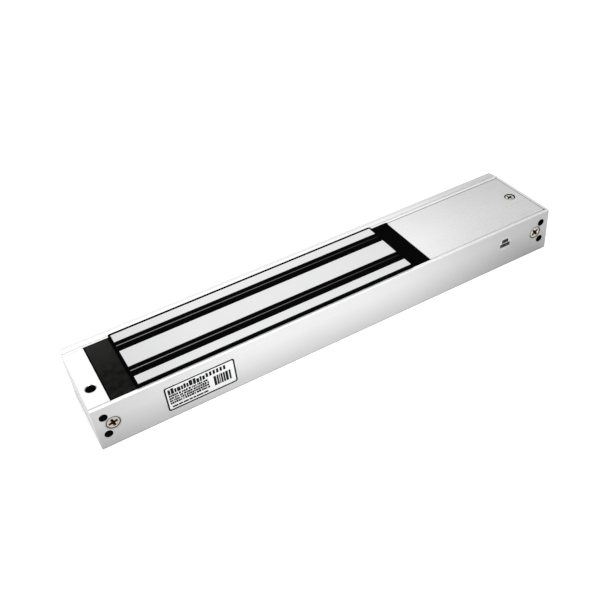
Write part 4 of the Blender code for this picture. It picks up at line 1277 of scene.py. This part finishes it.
def rating_label():
    """The label on the front: film, border, and plain bars where a maker prints its data."""
    low, high = node_box("rating_label")
    face = CHANNEL_LOW.y
    low = low - Vector((0.15, 0.0, 0.25))
    high = high + Vector((0.25, 0.0, 0.30))
    width, height = high.x - low.x, high.z - low.z

    def inside(inset, radius):
        return rounded_outline((low.x + inset, low.z + inset), (high.x - inset, high.z - inset), radius, 8)

    bm = bmesh.new()
    loops = []
    for inset, y in ((0.0, face - 0.005), (0.0, face - FILM + 0.04), (0.05, face - FILM)):
        loops.append(loop_at(bm, inside(inset, 1.3), "Y", y))
    skin_loops(bm, loops)
    make("label_film", bm, "film", ("rating_label",))

    front = face - FILM
    bm = bmesh.new()
    frame_mark(bm, front, inside(0.03, 1.27), inside(0.80, 0.70))

    def mark(left, bottom, right, top):
        bar(bm, front, (low.x + left * width, low.z + bottom * height),
            (low.x + right * width, low.z + top * height))

    label_bars(mark)
    make("label_print", bm, "ink")


def inspection_sticker():
    """The small round sticker with two rows of plain marks."""
    low, high = node_box("inspection_sticker")
    x, z = (low.x + high.x) / 2, (low.z + high.z) / 2
    row_height = 2.15
    radius = (high.x - low.x) / 2
    face = CHANNEL_LOW.y
    bm = bmesh.new()
    turned(bm, [(radius * 0.3, face - 0.005), (radius, face - 0.005), (radius, face - FILM + 0.04),
                (radius - 0.06, face - FILM), (radius * 0.3, face - FILM)], "Y", (x, z), 64)
    make("sticker_disc", bm, "paper", ("inspection_sticker",))
    bm = bmesh.new()
    front = face - FILM
    for row, (reach, level) in enumerate(((2.1, 0.35), (3.2, -2.15))):
        chance = random.Random(20 + row)
        u = -reach
        while u < reach - 0.3:
            step = chance.uniform(0.6, 1.0)
            bar(bm, front, (x + u, z + level), (x + min(u + step, reach), z + level + row_height), 0.12)
            u += step + 0.08
    make("sticker_print", bm, "ink")


# ---------------------------------------------------------------- camera, floor and light

def camera():
    data = bpy.data.cameras.new("camera")
    data.lens = 48.02
    data.sensor_width = 36.0
    data.clip_start = 0.01
    piece = bpy.data.objects.new("camera", data)
    piece.location = (-0.13931, -0.27275, 0.26602)
    piece.rotation_euler = [math.radians(angle) for angle in (49.857, 5.111, -29.398)]
    bpy.context.scene.collection.objects.link(piece)
    bpy.context.scene.camera = piece


def floor():
    """A pale matt floor, wide enough to fill every view."""
    bm = bmesh.new()
    bmesh.ops.create_grid(bm, x_segments=2, y_segments=2, size=6.0)
    mesh = bpy.data.meshes.new("floor")
    bm.to_mesh(mesh)
    bm.free()
    paper = look("floor_paper", (0.90, 0.90, 0.90), 0.9, specular=0.0)
    socket(paper, "Emission Color").default_value = (1.0, 1.0, 1.0, 1.0)
    socket(paper, "Emission Strength").default_value = 0.15
    mesh.materials.append(paper)
    piece = bpy.data.objects.new("floor", mesh)
    piece.location.z = -0.0001
    bpy.context.scene.collection.objects.link(piece)


def aim(data, location, target):
    """A light at a place that looks at a point."""
    piece = bpy.data.objects.new(data.name, data)
    piece.location = location
    piece.rotation_euler = (Vector(target) - Vector(location)).to_track_quat("-Z", "Y").to_euler()
    bpy.context.scene.collection.objects.link(piece)


def softbox(name, location, target, width, height, power):
    """A rectangular light that looks at a point."""
    data = bpy.data.lights.new(name, "AREA")
    data.shape = "RECTANGLE"
    data.size, data.size_y = width, height
    data.energy = power
    aim(data, location, target)


def pool(name, location, target, angle, power):
    """A soft round pool of light, its cone an angle in degrees."""
    data = bpy.data.lights.new(name, "SPOT")
    data.spot_size = math.radians(angle)
    data.spot_blend = 1.0
    data.shadow_soft_size = 0.06
    data.energy = power
    aim(data, location, target)


def light():
    world = bpy.data.worlds.new("studio")
    world.use_nodes = True
    sky = world.node_tree.nodes["Background"]
    sky.inputs["Color"].default_value = (1.0, 1.0, 1.0, 1.0)
    sky.inputs["Strength"].default_value = 0.98
    bpy.context.scene.world = world
    softbox("back_box", (0.2, 1.15, 1.08), (0.2, 0.0, 0.0), 1.6, 1.2, 5.6)
    softbox("edge_box", (0.42, -1.0, 0.55), (0.42, 0.0, 0.0), 1.4, 0.4, 5.0)
    pool("left_pool", (-0.75, -0.02, 0.16), (-0.150, -0.02, 0.0), 20.0, 12.0)
    pool("front_pool", (-0.018, -0.55, 0.70), (-0.018, -0.05, 0.0), 22.0, 33.0)


bpy.context.scene.view_settings.view_transform = "Standard"
camera()
floor()
light()
finish_nodes()
screws()
tapped_holes()
potting_rim()
slot_potting()
potted_ends()
plate_seat()
winding()
coil_leads()
cover()
cover_surround()
board_pads()
board_tracks()
board_outlines()
board_screws()
varistor()
diode()
grommet()
rating_label()
inspection_sticker()
